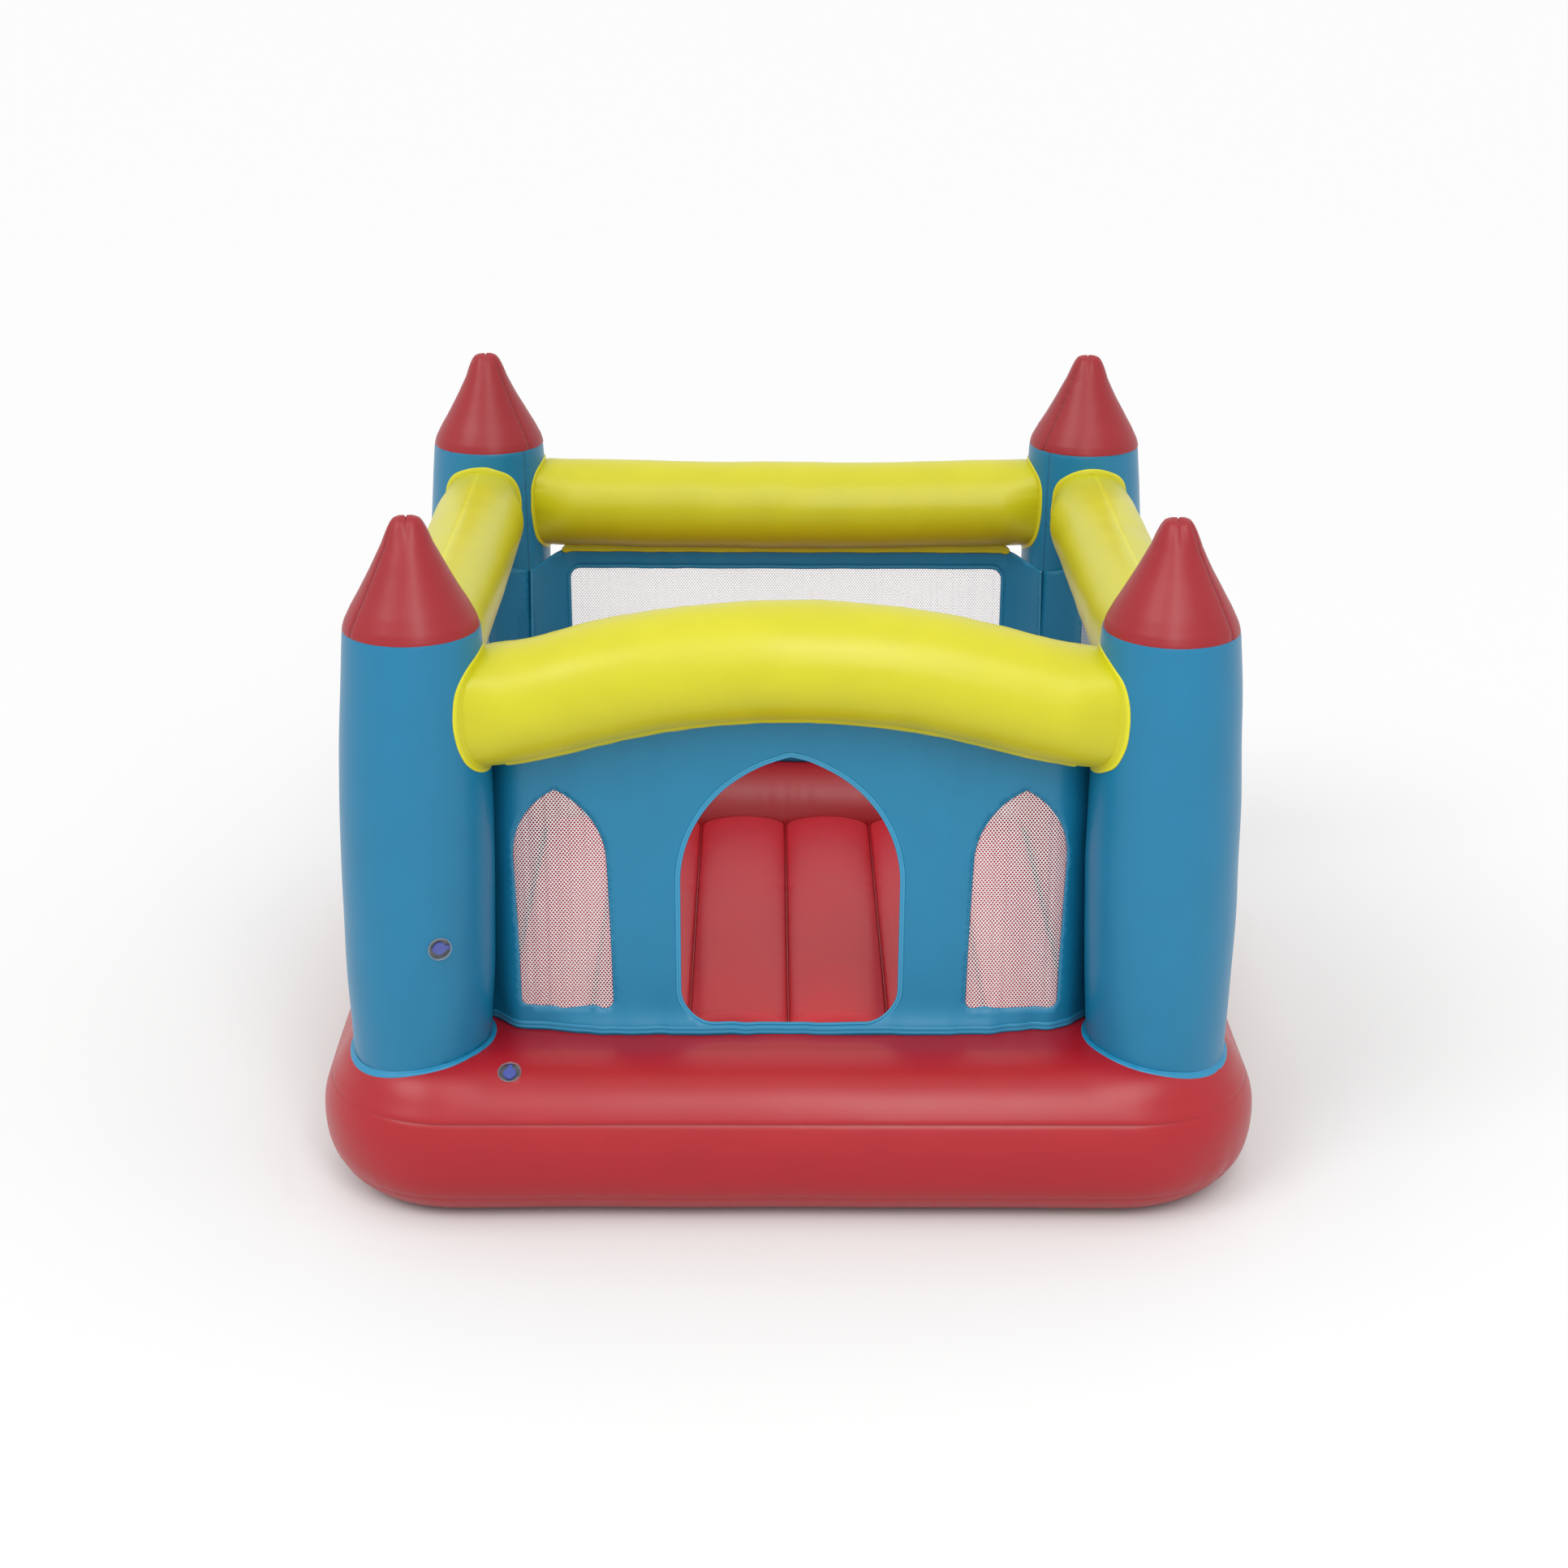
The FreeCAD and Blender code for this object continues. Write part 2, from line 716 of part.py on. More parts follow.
def valve_flap(name, spot):
    top = "stem_low - valve_gap"
    corners = [
        ("0", f"{top} - flap_film"),
        ("flap_radius", f"{top} - flap_film"),
        ("flap_radius", top),
        ("0", top),
    ]
    body = revolved(name, corners)
    tab(body, name + "_root", "-flap_tab", "-flap_radius + 1", f"{top} - flap_film", top)
    return keep(place(body, spot), name)


def air_valve(name, spot):
    """The four pieces of a valve, and the round hole that its seat needs in the film."""
    valve_seat(name + "_seat", spot)
    valve_stem(name + "_stem", spot)
    valve_cap(name + "_cap", spot)
    valve_flap(name + "_flap", spot)
    corners = [
        ("0", "-2 * dish_depth"),
        ("dish_outer + gap", "-2 * dish_depth"),
        ("dish_outer + gap", "2 * dish_depth"),
        ("0", "2 * dish_depth"),
    ]
    return place(revolved(name + "_hole", corners), spot)


# ---------------------------------------------------------------- the object

CORNERS = ("front_left", "front_right", "rear_left", "rear_right")
ruler = doc.addObject("App::FeaturePython", "ruler")
fill_sheet()

baseHole = air_valve("base_valve", (
    (
        "-base_valve_side",
        "-overall_depth / 2 + outer_round - outer_round * sin(base_valve_tilt * 1 deg)",
        "base_height - outer_round + outer_round * cos(base_valve_tilt * 1 deg)",
    ),
    "0",
    "base_valve_tilt",
    "90",
))
towerHole = air_valve("tower_valve", (
    (
        "-tower_x + tower_valve_reach * sin(tower_valve_turn * 1 deg)",
        "-tower_y - tower_valve_reach * cos(tower_valve_turn * 1 deg)",
        "tower_valve_height",
    ),
    "tower_valve_turn",
    "90",
    "0",
))

# base ring, floor cushion and its webs
ringGap = ring("ring_gap", "gap")
ringAirGap = ring("ring_air_gap", "gap + film")
ringWeld = ring("ring_weld", "gap + weld_film")
keep(cut("base", ring("ring", "0"), ring("ring_air", "-film"), baseHole), "base_tube")
keep(cut("floor", floor_solid("cushion", "0"), floor_solid("cushion_air", "film")), "bounce_floor")
keep(floor_webs(), "floor_webs")

# towers, their roofs and the welds at their feet
columnGap = at_corners("column_gap", column("column_gap", "gap", "shoulder_height"))
columnAirGap = at_corners("column_air_gap", column("column_air_gap", "gap + film", "shoulder_height"))
ringClear = ring("ring_clear", "2 * gap + weld_film")
footClear = at_corners("foot_clear", common(
    "foot_clear_sheet", ringClear, column("foot_clear_column", "2 * gap + weld_width", "shoulder_height")
))
columnWeld = at_corners("column_weld", column("column_weld", "gap + weld_film", "shoulder_height"))
barrel = cut("barrel", column("barrel_outer", "0", "shoulder_height"), ringGap)
barrelAir = cut("barrel_air", column("barrel_inner", "-film", "shoulder_height + film"), ringAirGap)
towers = at_corners("tower", cut("tower", barrel, barrelAir))
keep(cut("tower_holed", towers["front_left"], towerHole), "front_left_tower")
cones = at_corners("roof", cone_shell())
feet = at_corners("foot", cut(
    "foot_weld",
    common("foot_sheet", ringWeld, column("column_foot", "gap + weld_width", "shoulder_height")),
    ringGap,
    columnGap["front_left"],
))
for corner in CORNERS:
    if corner != "front_left":
        keep(towers[corner], corner + "_tower")
    keep(cones[corner], corner + "_cone")
    keep(feet[corner], corner + "_foot_weld")

# bars
archGap = arch_bar("arch_gap", "gap")


def rear_bar(name, grow):
    return straight_bar(name, grow, "x")


def side_bar(name, grow):
    return straight_bar(name, grow, "y")


def hollow_bar(name, make, ends):
    """A bar between two towers: closed film with its ends on the towers."""
    shell = cut(name + "_shell", make(name + "_outer", "0"), *[columnGap[end] for end in ends])
    air = cut(name + "_air", make(name + "_inner", "-film"), *[columnAirGap[end] for end in ends])
    return cut(name + "_hollow", shell, air)


def collars(name, make, width, ends, *others):
    """The weld rings around both ends of a bar, lying on the towers."""
    rings = []
    for end in ends:
        patch = common(f"{name}_{end}", make(f"{name}_{end}_wide", f"gap + {width}"), columnWeld[end])
        bar = make(f"{name}_{end}_bar", "gap")
        rings.append(cut(f"{name}_{end}_ring", patch, columnGap[end], bar, *others))
    return group(name + "_pair", rings)


rearEnds = ("rear_left", "rear_right")
frontEnds = ("front_left", "front_right")
leftEnds = ("front_left", "rear_left")
sideClear = side_bar("side_clear", "gap + film")
sideClearRight = mirrored("side_clear_right", sideClear, Vector(1, 0, 0))
sideWeld = side_bar("side_weld", "weld_width + 2 * gap")
sideWeldRight = mirrored("side_weld_right", sideWeld, Vector(1, 0, 0))
archClear = arch_bar("arch_clear", "gap + film")
rearClear = rear_bar("rear_clear", "gap")

keep(hollow_bar("arch", arch_bar, frontEnds), "front_arch_bar")
keep(hollow_bar("rear_bar", rear_bar, rearEnds), "rear_bar")
leftGaps = [columnGap[end] for end in leftEnds] + [archGap, rearClear]
leftAirGaps = [columnAirGap[end] for end in leftEnds] + [archClear, rear_bar("rear_air_clear", "gap + film")]
leftBar = cut(
    "left_bar_hollow",
    cut("left_bar_shell", side_bar("left_bar_outer", "0"), *leftGaps),
    cut("left_bar_air", side_bar("left_bar_inner", "-film"), *leftAirGaps),
)
keep(leftBar, "left_bar")
keep(mirrored("right_bar_hollow", leftBar, Vector(1, 0, 0)), "right_bar")
keep(collars("front_collar", arch_bar, "arch_collar", frontEnds, sideWeld, sideWeldRight), "front_bar_welds")
keep(collars("rear_collar", rear_bar, "weld_width", rearEnds, sideWeld, sideWeldRight), "rear_bar_welds")
leftCollars = collars("left_collar", side_bar, "weld_width", leftEnds, archGap, rearClear)
keep(leftCollars, "left_bar_welds")
keep(mirrored("right_collar", leftCollars, Vector(1, 0, 0)), "right_bar_welds")

# wall panels
outer = ("panel_film / 2 + gap", "panel_film * 1.5 + gap")
inner = ("-panel_film * 1.5 - gap", "-panel_film / 2 - gap")
low = "base_height - 25"
doorShape = ("0", "door_half_width", "door_sill", "door_spring", "door_top", "door_corner")


def window_shape(side):
    centre = "window_offset" if side == "right" else "-window_offset"
    return (centre, "window_half_width", "window_sill", "window_spring", "window_top", "window_corner")


def front_slab(name, shape, low_side, high_side):
    """An outline's solid in the front wall, between two distances outside its middle plane."""
    return slab(name, "XZ_Plane", shape, f"-(panel_y + {high_side})", f"-(panel_y + {low_side})")


front = common(
    "front_sheet",
    band("front_band", "front", "-panel_film / 2", "panel_film / 2", low, "arch_height + arch_rise"),
    arch_face("front_edge", "arch_radius + strip_drop", "level " + low),
)
holes = [front_slab("door_hole", pointed(*doorShape), "(-20)", "20")]
for side in ("left", "right"):
    holes.append(front_slab(f"window_{side}_hole", pointed(*window_shape(side)), "(-20)", "20"))
    pane = front_slab(
        f"window_{side}_mesh",
        pointed(*window_shape(side), grow="mesh_lap"),
        "(-panel_film / 2 - gap - mesh_film)",
        "(-panel_film / 2 - gap)",
    )
    keep(pane, f"front_{side}_window_mesh")
keep(cut("front_panel", front, ringGap, *holes), "front_wall_panel")
keep(cut(
    "rim",
    front_slab("rim_outer", pointed(*doorShape, grow="door_rim_width"), *[f"({side})" for side in outer]),
    front_slab("rim_inner", pointed(*doorShape), "(-20)", "20"),
), "door_rim")


def straight_run(name, wall, layer, bottom, top):
    """A film along the straight part of a wall, between two levels."""
    near, far = layer
    across, along = ("panel_y", "tower_x") if wall in ("front", "rear") else ("panel_x", "tower_y")
    sign = "-" if wall in ("front", "left") else ""
    sides = [f"{sign}({across} + {near})", f"{sign}({across} + {far})"]
    if sign:
        sides.reverse()
    ends = [f"-({along} - flat_margin)", f"{along} - flat_margin"]
    if wall in ("front", "rear"):
        return block(name, (ends[0], sides[0], bottom), (ends[1], sides[1], top))
    return block(name, (sides[0], ends[0], bottom), (sides[1], ends[1], top))


keep(cut(
    "front_strip",
    common(
        "front_strip_sheet",
        straight_run("front_strip_run", "front", outer, "base_height", "arch_height + arch_rise"),
        arch_face("front_strip_edge", "arch_radius / 2", "arch_radius + strip_drop + strip_lap"),
    ),
    archGap,
), "front_hanging_strip")


def end_slope(name, wall):
    """The upright outline of a rear or side wall: level along the bar, lower at the seams."""
    half = "tower_x" if wall == "rear" else "tower_y"
    corners = [
        (f"-({half} - 50)", low),
        (f"{half} - 50", low),
        (f"{half} - 50", "bar_low - seam_drop"),
        (f"{half} - seam_offset", "bar_low - seam_drop"),
        (f"{half} - flat_margin", "bar_low"),
        (f"-({half} - flat_margin)", "bar_low"),
        (f"-({half} - seam_offset)", "bar_low - seam_drop"),
        (f"-({half} - 50)", "bar_low - seam_drop"),
    ]
    plane, reach = ("XZ_Plane", "overall_depth / 2") if wall == "rear" else ("YZ_Plane", "overall_width / 2")
    return slab(name, plane, (corners, {}), f"-{reach}", reach)


for wall in ("rear", "left"):
    along, across = ("tower_x", "panel_y") if wall == "rear" else ("tower_y", "panel_x")
    plane, sign = ("XZ_Plane", "") if wall == "rear" else ("YZ_Plane", "-")
    bar = rearClear if wall == "rear" else sideClear
    hole = slab(f"{wall}_screen_hole", plane, screen(along), f"{sign}{across} - 20", f"{sign}{across} + 20")
    film = band(f"{wall}_band", wall, "-panel_film / 2", "panel_film / 2", low, "bar_low")
    whole = common(f"{wall}_sheet", film, end_slope(f"{wall}_edge", wall))
    panel = cut(f"{wall}_panel", whole, ringGap, hole)
    layer = ["panel_film / 2 + gap", "panel_film / 2 + gap + mesh_film"]
    if sign:
        layer.reverse()
    mesh = slab(
        f"{wall}_mesh",
        plane,
        screen(along, grow="mesh_lap"),
        f"{sign}({across} + {layer[0]})",
        f"{sign}({across} + {layer[1]})",
    )
    strip = cut(
        f"{wall}_strip",
        straight_run(f"{wall}_strip_run", wall, inner, "bar_low - strip_lap", "bar_height"),
        bar,
    )
    pieces = {"wall_panel": panel, "window_mesh": mesh, "hanging_strip": strip}
    for label, piece in pieces.items():
        keep(piece, f"{wall}_{label}")
        if wall == "left":
            keep(mirrored(f"right_{label}_copy", piece, Vector(1, 0, 0)), f"right_{label}")

for wall in ("front", "rear", "left"):
    hem = cut(
        f"{wall}_hem_seated",
        band(f"{wall}_hem_band", wall, *outer, low, "base_height + hem_height"),
        ringGap,
        *footClear.values(),
    )
    keep(hem, f"{wall}_hem")
    if wall == "left":
        keep(mirrored("right_hem_copy", hem, Vector(1, 0, 0)), "right_hem")

fin = doc.addObject("Part::Box", "seam_fin")
fin.setExpression("Length", bound("belly_radius + panel_clear + seam_reach"))
fin.setExpression("Width", bound("panel_film"))
fin.setExpression("Height", bound(f"bar_low - seam_drop - ({low})"))
fin.Placement.Rotation = FreeCAD.Rotation(Vector(0, 0, 1), 45)
move(fin, "-tower_x + panel_film * sqrt(0.125)", "-tower_y - panel_film * sqrt(0.125)", low)
seams = at_corners("seam", cut("seam_seated", fin, columnGap["front_left"], ringClear))
for corner in CORNERS:
    keep(seams[corner], corner + "_wall_seam")


# ---------------------------------------------------------------- check and write

doc.recompute()
for item in doc.Objects:
    if "Invalid" in item.State or "Error" in item.State:
        raise RuntimeError(f"{item.Name}: {item.State}")
os.makedirs("parts", exist_ok=True)
for label, feature in nodes.items():
    shape = feature.Shape
    if shape.isNull() or not shape.isValid() or not shape.Solids:
        raise RuntimeError(f"{label} has no valid solid")
    shape.exportStep(f"parts/{label}.step")
    print(label, len(shape.Solids), round(shape.Volume / 1000, 1))
print(len(nodes), "pieces")
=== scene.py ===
import bpy
import math
import numpy as np
from mathutils import Matrix, Vector
from mathutils.geometry import delaunay_2d_cdt


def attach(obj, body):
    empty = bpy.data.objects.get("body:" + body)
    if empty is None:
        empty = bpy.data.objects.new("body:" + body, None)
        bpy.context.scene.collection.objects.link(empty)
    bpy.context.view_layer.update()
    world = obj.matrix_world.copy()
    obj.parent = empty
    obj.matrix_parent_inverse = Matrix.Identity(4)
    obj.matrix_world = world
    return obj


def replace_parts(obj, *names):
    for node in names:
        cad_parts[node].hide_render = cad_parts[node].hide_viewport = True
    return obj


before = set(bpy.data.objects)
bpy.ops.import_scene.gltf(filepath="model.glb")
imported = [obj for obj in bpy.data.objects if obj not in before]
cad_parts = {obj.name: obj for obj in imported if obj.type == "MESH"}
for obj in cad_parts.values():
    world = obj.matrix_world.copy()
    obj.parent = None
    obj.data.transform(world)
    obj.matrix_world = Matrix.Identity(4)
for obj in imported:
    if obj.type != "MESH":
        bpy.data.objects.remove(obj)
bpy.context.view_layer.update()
root = "bounce_house"


# noise and small number helpers

def smooth(x):
    return x * x * (3 - 2 * x)


def noiseLine(seed, place, cells):
    # smooth periodic noise, -1 to 1, place runs 0 to 1
    cells = max(int(cells), 3)
    table = np.random.default_rng(seed).uniform(-1, 1, cells)
    x = np.mod(place, 1.0) * cells
    i = np.floor(x).astype(int)
    f = smooth(x - i)
    return table[i % cells] * (1 - f) + table[(i + 1) % cells] * f


def noiseField(seed, u, v, cellsU, cellsV):
    # the same in two directions
    cellsU, cellsV = max(int(cellsU), 3), max(int(cellsV), 3)
    table = np.random.default_rng(seed).uniform(-1, 1, (cellsU, cellsV))
    x, y = np.mod(u, 1.0) * cellsU, np.mod(v, 1.0) * cellsV
    i, j = np.floor(x).astype(int), np.floor(y).astype(int)
    f, g = smooth(x - i), smooth(y - j)
    a, b = table[i % cellsU, j % cellsV], table[(i + 1) % cellsU, j % cellsV]
    c, d = table[i % cellsU, (j + 1) % cellsV], table[(i + 1) % cellsU, (j + 1) % cellsV]
    return (a * (1 - f) + b * f) * (1 - g) + (c * (1 - f) + d * f) * g


def pleats(seed, along, away, total, pitch, reach, depth):
    # creases square to a seam: sharp valleys between round bulges, of uneven length and depth
    cells = total / pitch
    place = along / total
    ridge = noiseLine(seed, place, cells) + 0.35 * noiseLine(seed + 1, place, cells * 2.3)
    crease = -np.clip(1 - np.abs(ridge) * 1.7, 0, 1) ** 1.5
    strength = 0.55 + 0.45 * noiseLine(seed + 2, place, cells / 3)
    length = reach * (0.75 + 0.45 * noiseLine(seed + 3, place, cells / 1.5))
    fade = np.exp(-(np.abs(away) / length) ** 1.4)
    return depth * strength * fade * (crease + 0.35)


def groove(away, width, depth):
    return -depth * np.exp(-(np.abs(away) / width) ** 1.2)


# mesh building

class Piece:
    # gathers point grids and loose faces into one mesh

    def __init__(self):
        self.points, self.faces, self.marks, self.count = [], [], [], 0

    def add(self, points, faces, mark=None):
        points = np.asarray(points, float).reshape(-1, 3)
        self.points.append(points)
        self.faces += [tuple(int(k) + self.count for k in face) for face in faces]
        self.marks.append(np.zeros(len(points)) if mark is None else np.asarray(mark, float).reshape(-1))
        self.count += len(points)

    def grid(self, points, wrapU=False, wrapV=False, mark=None, flip=False):
        nu, nv = points.shape[:2]
        lastU, lastV = nu if wrapU else nu - 1, nv if wrapV else nv - 1
        i, j = np.meshgrid(np.arange(lastU), np.arange(lastV), indexing="ij")
        i, j = i.ravel(), j.ravel()
        k, m = (i + 1) % nu, (j + 1) % nv
        quads = np.stack([i * nv + j, k * nv + j, k * nv + m, i * nv + m], 1)
        self.add(points, quads[:, ::-1] if flip else quads, mark)

    def fan(self, ring, tip, flip=False):
        ring = np.asarray(ring, float)
        n = len(ring)
        faces = [(i, (i + 1) % n, n) for i in range(n)]
        self.add(np.vstack([ring, tip]), [face[::-1] for face in faces] if flip else faces)

    def bore(self, spot):
        # cuts the round hole that a valve's seat fills, in the one grid added so far
        points, at, axis = self.points[0], np.array(spot["at"]), np.array(spot["axis"])
        lift = (points - at) @ axis
        flat = points - at - lift[:, None] * axis
        far = np.linalg.norm(flat, axis=1)
        within = (far < spot["bore"]) & (np.abs(lift) < spot["deep"])
        points[within] += (flat * (spot["bore"] / np.maximum(far, 1e-6) - 1)[:, None])[within]
        kept = [face for face in self.faces if not within[list(face)].all()]
        used = np.unique([k for face in kept for k in face])
        place = np.full(len(points), -1)
        place[used] = np.arange(len(used))
        self.points, self.marks, self.count = [points[used]], [self.marks[0][used]], len(used)
        self.faces = [tuple(int(place[k]) for k in face) for face in kept]

    def make(self, name, material):
        mesh = bpy.data.meshes.new(name)
        mesh.from_pydata(np.vstack(self.points).tolist(), [], self.faces)
        mesh.polygons.foreach_set("use_smooth", [True] * len(self.faces))
        # share of the film's second tone at each point: dark weld seams, and painted highlights on raised ridges
        mark = mesh.attributes.new("weld_and_highlight", "FLOAT", "POINT")
        mark.data.foreach_set("value", np.concatenate(self.marks))
        mesh.materials.append(material)
        mesh.update()
        piece = bpy.data.objects.new(name, mesh)
        bpy.context.scene.collection.objects.link(piece)
        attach(piece, root)
        return piece


# where the valves sit: middle of the seat on the film, direction out of the film, and its hole's radius
valves = {
    "base_valve": {"at": (-0.512, -0.7886, 0.2847), "axis": (0.0, -0.4540, 0.8910), "bore": 0.0201, "deep": 0.02},
    "tower_valve": {"at": (-0.6278, -0.7892, 0.534), "axis": (0.3584, -0.9336, 0.0), "bore": 0.0201, "deep": 0.02},
    "calmReach": 0.075,
    "calmFade": 0.045,
}


def nearValve(points, spot):
    # 1 close to a valve, where the film lies flat under its seat, and 0 away from it
    far = np.linalg.norm(points - np.array(spot["at"]), axis=-1)
    return smooth(np.clip((valves["calmReach"] - far) / valves["calmFade"], 0, 1))[..., None]


def normals(points, wrapU=False, wrapV=False):
    # unit normals of a point grid
    def slope(p, axis, wrap):
        if wrap:
            return np.roll(p, -1, axis) - np.roll(p, 1, axis)
        return np.gradient(p, axis=axis)
    n = np.cross(slope(points, 0, wrapU), slope(points, 1, wrapV))
    return n / np.maximum(np.linalg.norm(n, axis=2, keepdims=True), 1e-12)


def unit(v):
    return v / np.maximum(np.linalg.norm(v, axis=-1, keepdims=True), 1e-12)


def ribbon(piece, path, out, section, closed=False, mark=None):
    # sweeps a closed section of (across, outward) points along a path; out is each point's outward normal
    path, out = np.asarray(path, float), unit(np.asarray(out, float))
    if closed:
        ahead = np.roll(path, -1, 0) - np.roll(path, 1, 0)
    else:
        ahead = np.gradient(path, axis=0)
    side = unit(np.cross(out, unit(ahead)))
    section = np.repeat(np.asarray(section, float)[None], len(path), 0)
    points = path[:, None] + side[:, None] * section[:, :, :1] + out[:, None] * section[:, :, 1:]
    marks = None if mark is None else np.repeat(np.asarray(mark, float)[None], len(path), 0)
    piece.grid(points, wrapU=closed, wrapV=True, mark=marks, flip=True)
    if not closed:
        n = section.shape[1]
        piece.add(points[0], [tuple(range(n))])
        piece.add(points[-1], [tuple(range(n))[::-1]])


def tape(width, height, lines=1):
    # section of a flat weld: low edges and one or more raised lines
    across = np.linspace(-width / 2, width / 2, 6 * lines + 1)
    rise = height * (0.35 + 0.65 * np.abs(np.sin(np.pi * lines * (across / width + 0.5))) ** 0.7)
    rise[0] = rise[-1] = 0
    top = list(zip(across, rise))
    return np.array(top + [(width / 2, -0.0006), (-width / 2, -0.0006)])


# materials

def linear(hexCode):
    values = [int(hexCode[i:i + 2], 16) / 255 for i in (1, 3, 5)]
    return [v / 12.92 if v <= 0.04045 else ((v + 0.055) / 1.055) ** 2.4 for v in values] + [1.0]


def node(tree, kind, settings=None, **links):
    # adds a shader node; links name an input and the socket or value it takes
    made = tree.nodes.new(kind)
    for key, value in (settings or {}).items():
        setattr(made, key, value)
    for key, value in links.items():
        socket = made.inputs[int(key[1:])] if key[0] == "_" else made.inputs[key.replace("_", " ")]
        if isinstance(value, bpy.types.NodeSocket):
            tree.links.new(value, socket)
        else:
            socket.default_value = value
    return made


def newMaterial(name):
    material = bpy.data.materials.new(name)
    material.use_nodes = True
    tree = material.node_tree
    return material, tree, tree.nodes["Principled BSDF"]


vinylLook = {
    "roughness": 0.36,
    "smoother": 0.04,
    "rougher": 0.05,
    "darker": 0.93,
    "lighter": 1.06,
    "coat": 0.06,
    "coatRoughness": 0.22,
    "specular": 0.42,
    "grainMetres": 0.0011,
    "grainDepth": 0.00003,
    "patchMetres": 0.09,
}


def vinyl(name, hexCode, weldAndHighlightHex, roughness=None, seeThrough=0.0):
    # semi-gloss film: fine grain, faint patches of tone, and a second tone along marked lines: dark weld seams on
    # some films, a painted highlight on the raised ridges of others
    material, tree, shader = newMaterial(name)
    place = node(tree, "ShaderNodeTexCoord").outputs["Object"]
    patch = node(tree, "ShaderNodeTexNoise", Vector=place, Scale=1 / vinylLook["patchMetres"], Detail=2.0)
    base = linear(hexCode)
    dark = [c * vinylLook["darker"] for c in base[:3]] + [1]
    light = [min(c * vinylLook["lighter"], 1) for c in base[:3]] + [1]
    tone = node(tree, "ShaderNodeMix", {"data_type": "RGBA"}, _0=patch.outputs["Fac"], _6=dark, _7=light)
    # the second tone's share: weld seams, and painted highlights where a film's second tone is lighter
    weld_and_highlight = node(tree, "ShaderNodeAttribute", {"attribute_name": "weld_and_highlight"})
    colour = node(
        tree, "ShaderNodeMix", {"data_type": "RGBA"},
        _0=weld_and_highlight.outputs["Fac"], _6=tone.outputs[2], _7=linear(weldAndHighlightHex),
    )
    grain = node(tree, "ShaderNodeTexNoise", Vector=place, Scale=1 / vinylLook["grainMetres"], Detail=1.0)
    bump = node(
        tree, "ShaderNodeBump",
        Height=grain.outputs["Fac"], Distance=vinylLook["grainDepth"], Strength=1.0,
    )
    rough = roughness or vinylLook["roughness"]
    wear = node(
        tree, "ShaderNodeMapRange",
        Value=patch.outputs["Fac"], To_Min=rough - vinylLook["smoother"], To_Max=rough + vinylLook["rougher"],
    )
    tree.links.new(colour.outputs[2], shader.inputs["Base Color"])
    tree.links.new(wear.outputs[0], shader.inputs["Roughness"])
    tree.links.new(bump.outputs[0], shader.inputs["Normal"])
    shader.inputs["Coat Weight"].default_value = vinylLook["coat"]
    shader.inputs["Coat Roughness"].default_value = vinylLook["coatRoughness"]
    shader.inputs["Transmission Weight"].default_value = seeThrough
    shader.inputs["Specular IOR Level"].default_value = vinylLook["specular"]
    return material


redVinyl = vinyl("red vinyl film", "#9A0F1B", "#750A14")
# lighter than the ring's red: painted sheen on the floor's upward-facing cells; the darker second tone marks its
# seams
floorVinyl = vinyl("red floor vinyl film", "#BC1F2B", "#8E121E")
roofVinyl = vinyl("red roof vinyl film", "#8C0F1B", "#6E0A14", roughness=0.42)
blueVinyl = vinyl("blue vinyl film", "#076D93", "#0A587A")
wallVinyl = vinyl("blue wall vinyl film", "#0F7298", "#2782AA", roughness=0.44)
# its lighter second tone is a painted highlight along the raised ridges of the strips and collars, and also draws
# a light line along each bar's seam
yellowVinyl = vinyl("yellow vinyl film", "#BBB612", "#CFCB1E")
# a little lighter than the wall's blue; its lighter second tone is a painted highlight on the raised lines of the
# hem and door tapes, the foot flanges' ridge and the seam fins' edges
tapeBlue = vinyl("blue weld tape", "#187AA2", "#3A91B6", roughness=0.4)
threadBlue = vinyl("light blue thread", "#58A9C8", "#7CC0D8", roughness=0.5)
netWhite = vinyl("white netting", "#DDE0E2", "#EEF0F2", roughness=0.6)
valveVinyl = vinyl("translucent blue valve vinyl", "#5560B0", "#7A86D0", roughness=0.25, seeThrough=0.3)
clearVinyl = vinyl("clear valve vinyl", "#E4EAF2", "#FFFFFF", roughness=0.16, seeThrough=0.92)
print("materials ready")


# base ring

base = {
    "width": 1.750,
    "depth": 1.730,
    "height": 0.300,
    "ring": 0.325,
    "corner": 0.250,
    "openingCorner": 0.075,
    "outerRound": 0.140,
    "footRound": 0.108,
    "innerRound": 0.112,
    "upperSeam": 0.213,
    "lowerSeam": 0.060,
    "wave": 0.0016,
    "footLift": 0.35,
    "footReach": 0.130,
    "footFade": 0.085,
    "swell": 0.036,
    "swellMiddle": 0.640,
    "swellSpread": 0.085,
    "bulge": 0.008,
    "bulgeHeight": 0.140,
    "bulgeSpread": 0.060,
    "around": 640,
    "sideShare": 0.78,
    # width and depth of the creases along a seam
    "upperGroove": (0.0030, 0.0016),
    "lowerGroove": (0.005, 0.0012),
    # pitch, reach and depth of the pleats along a seam
    "upperPleats": (0.055, 0.014, 0.0006),
    "lowerPleats": (0.034, 0.022, 0.0016),
    "cornerPleats": (0.045, 0.045, 0.0060),
    "innerPleats": (0.045, 0.045, 0.0035),
}


def boxDistance(x, y, halfX, halfY, corner):
    qx, qy = np.abs(x) - halfX + corner, np.abs(y) - halfY + corner
    outside = np.hypot(np.maximum(qx, 0), np.maximum(qy, 0))
    return outside + np.minimum(np.maximum(qx, qy), 0) - corner


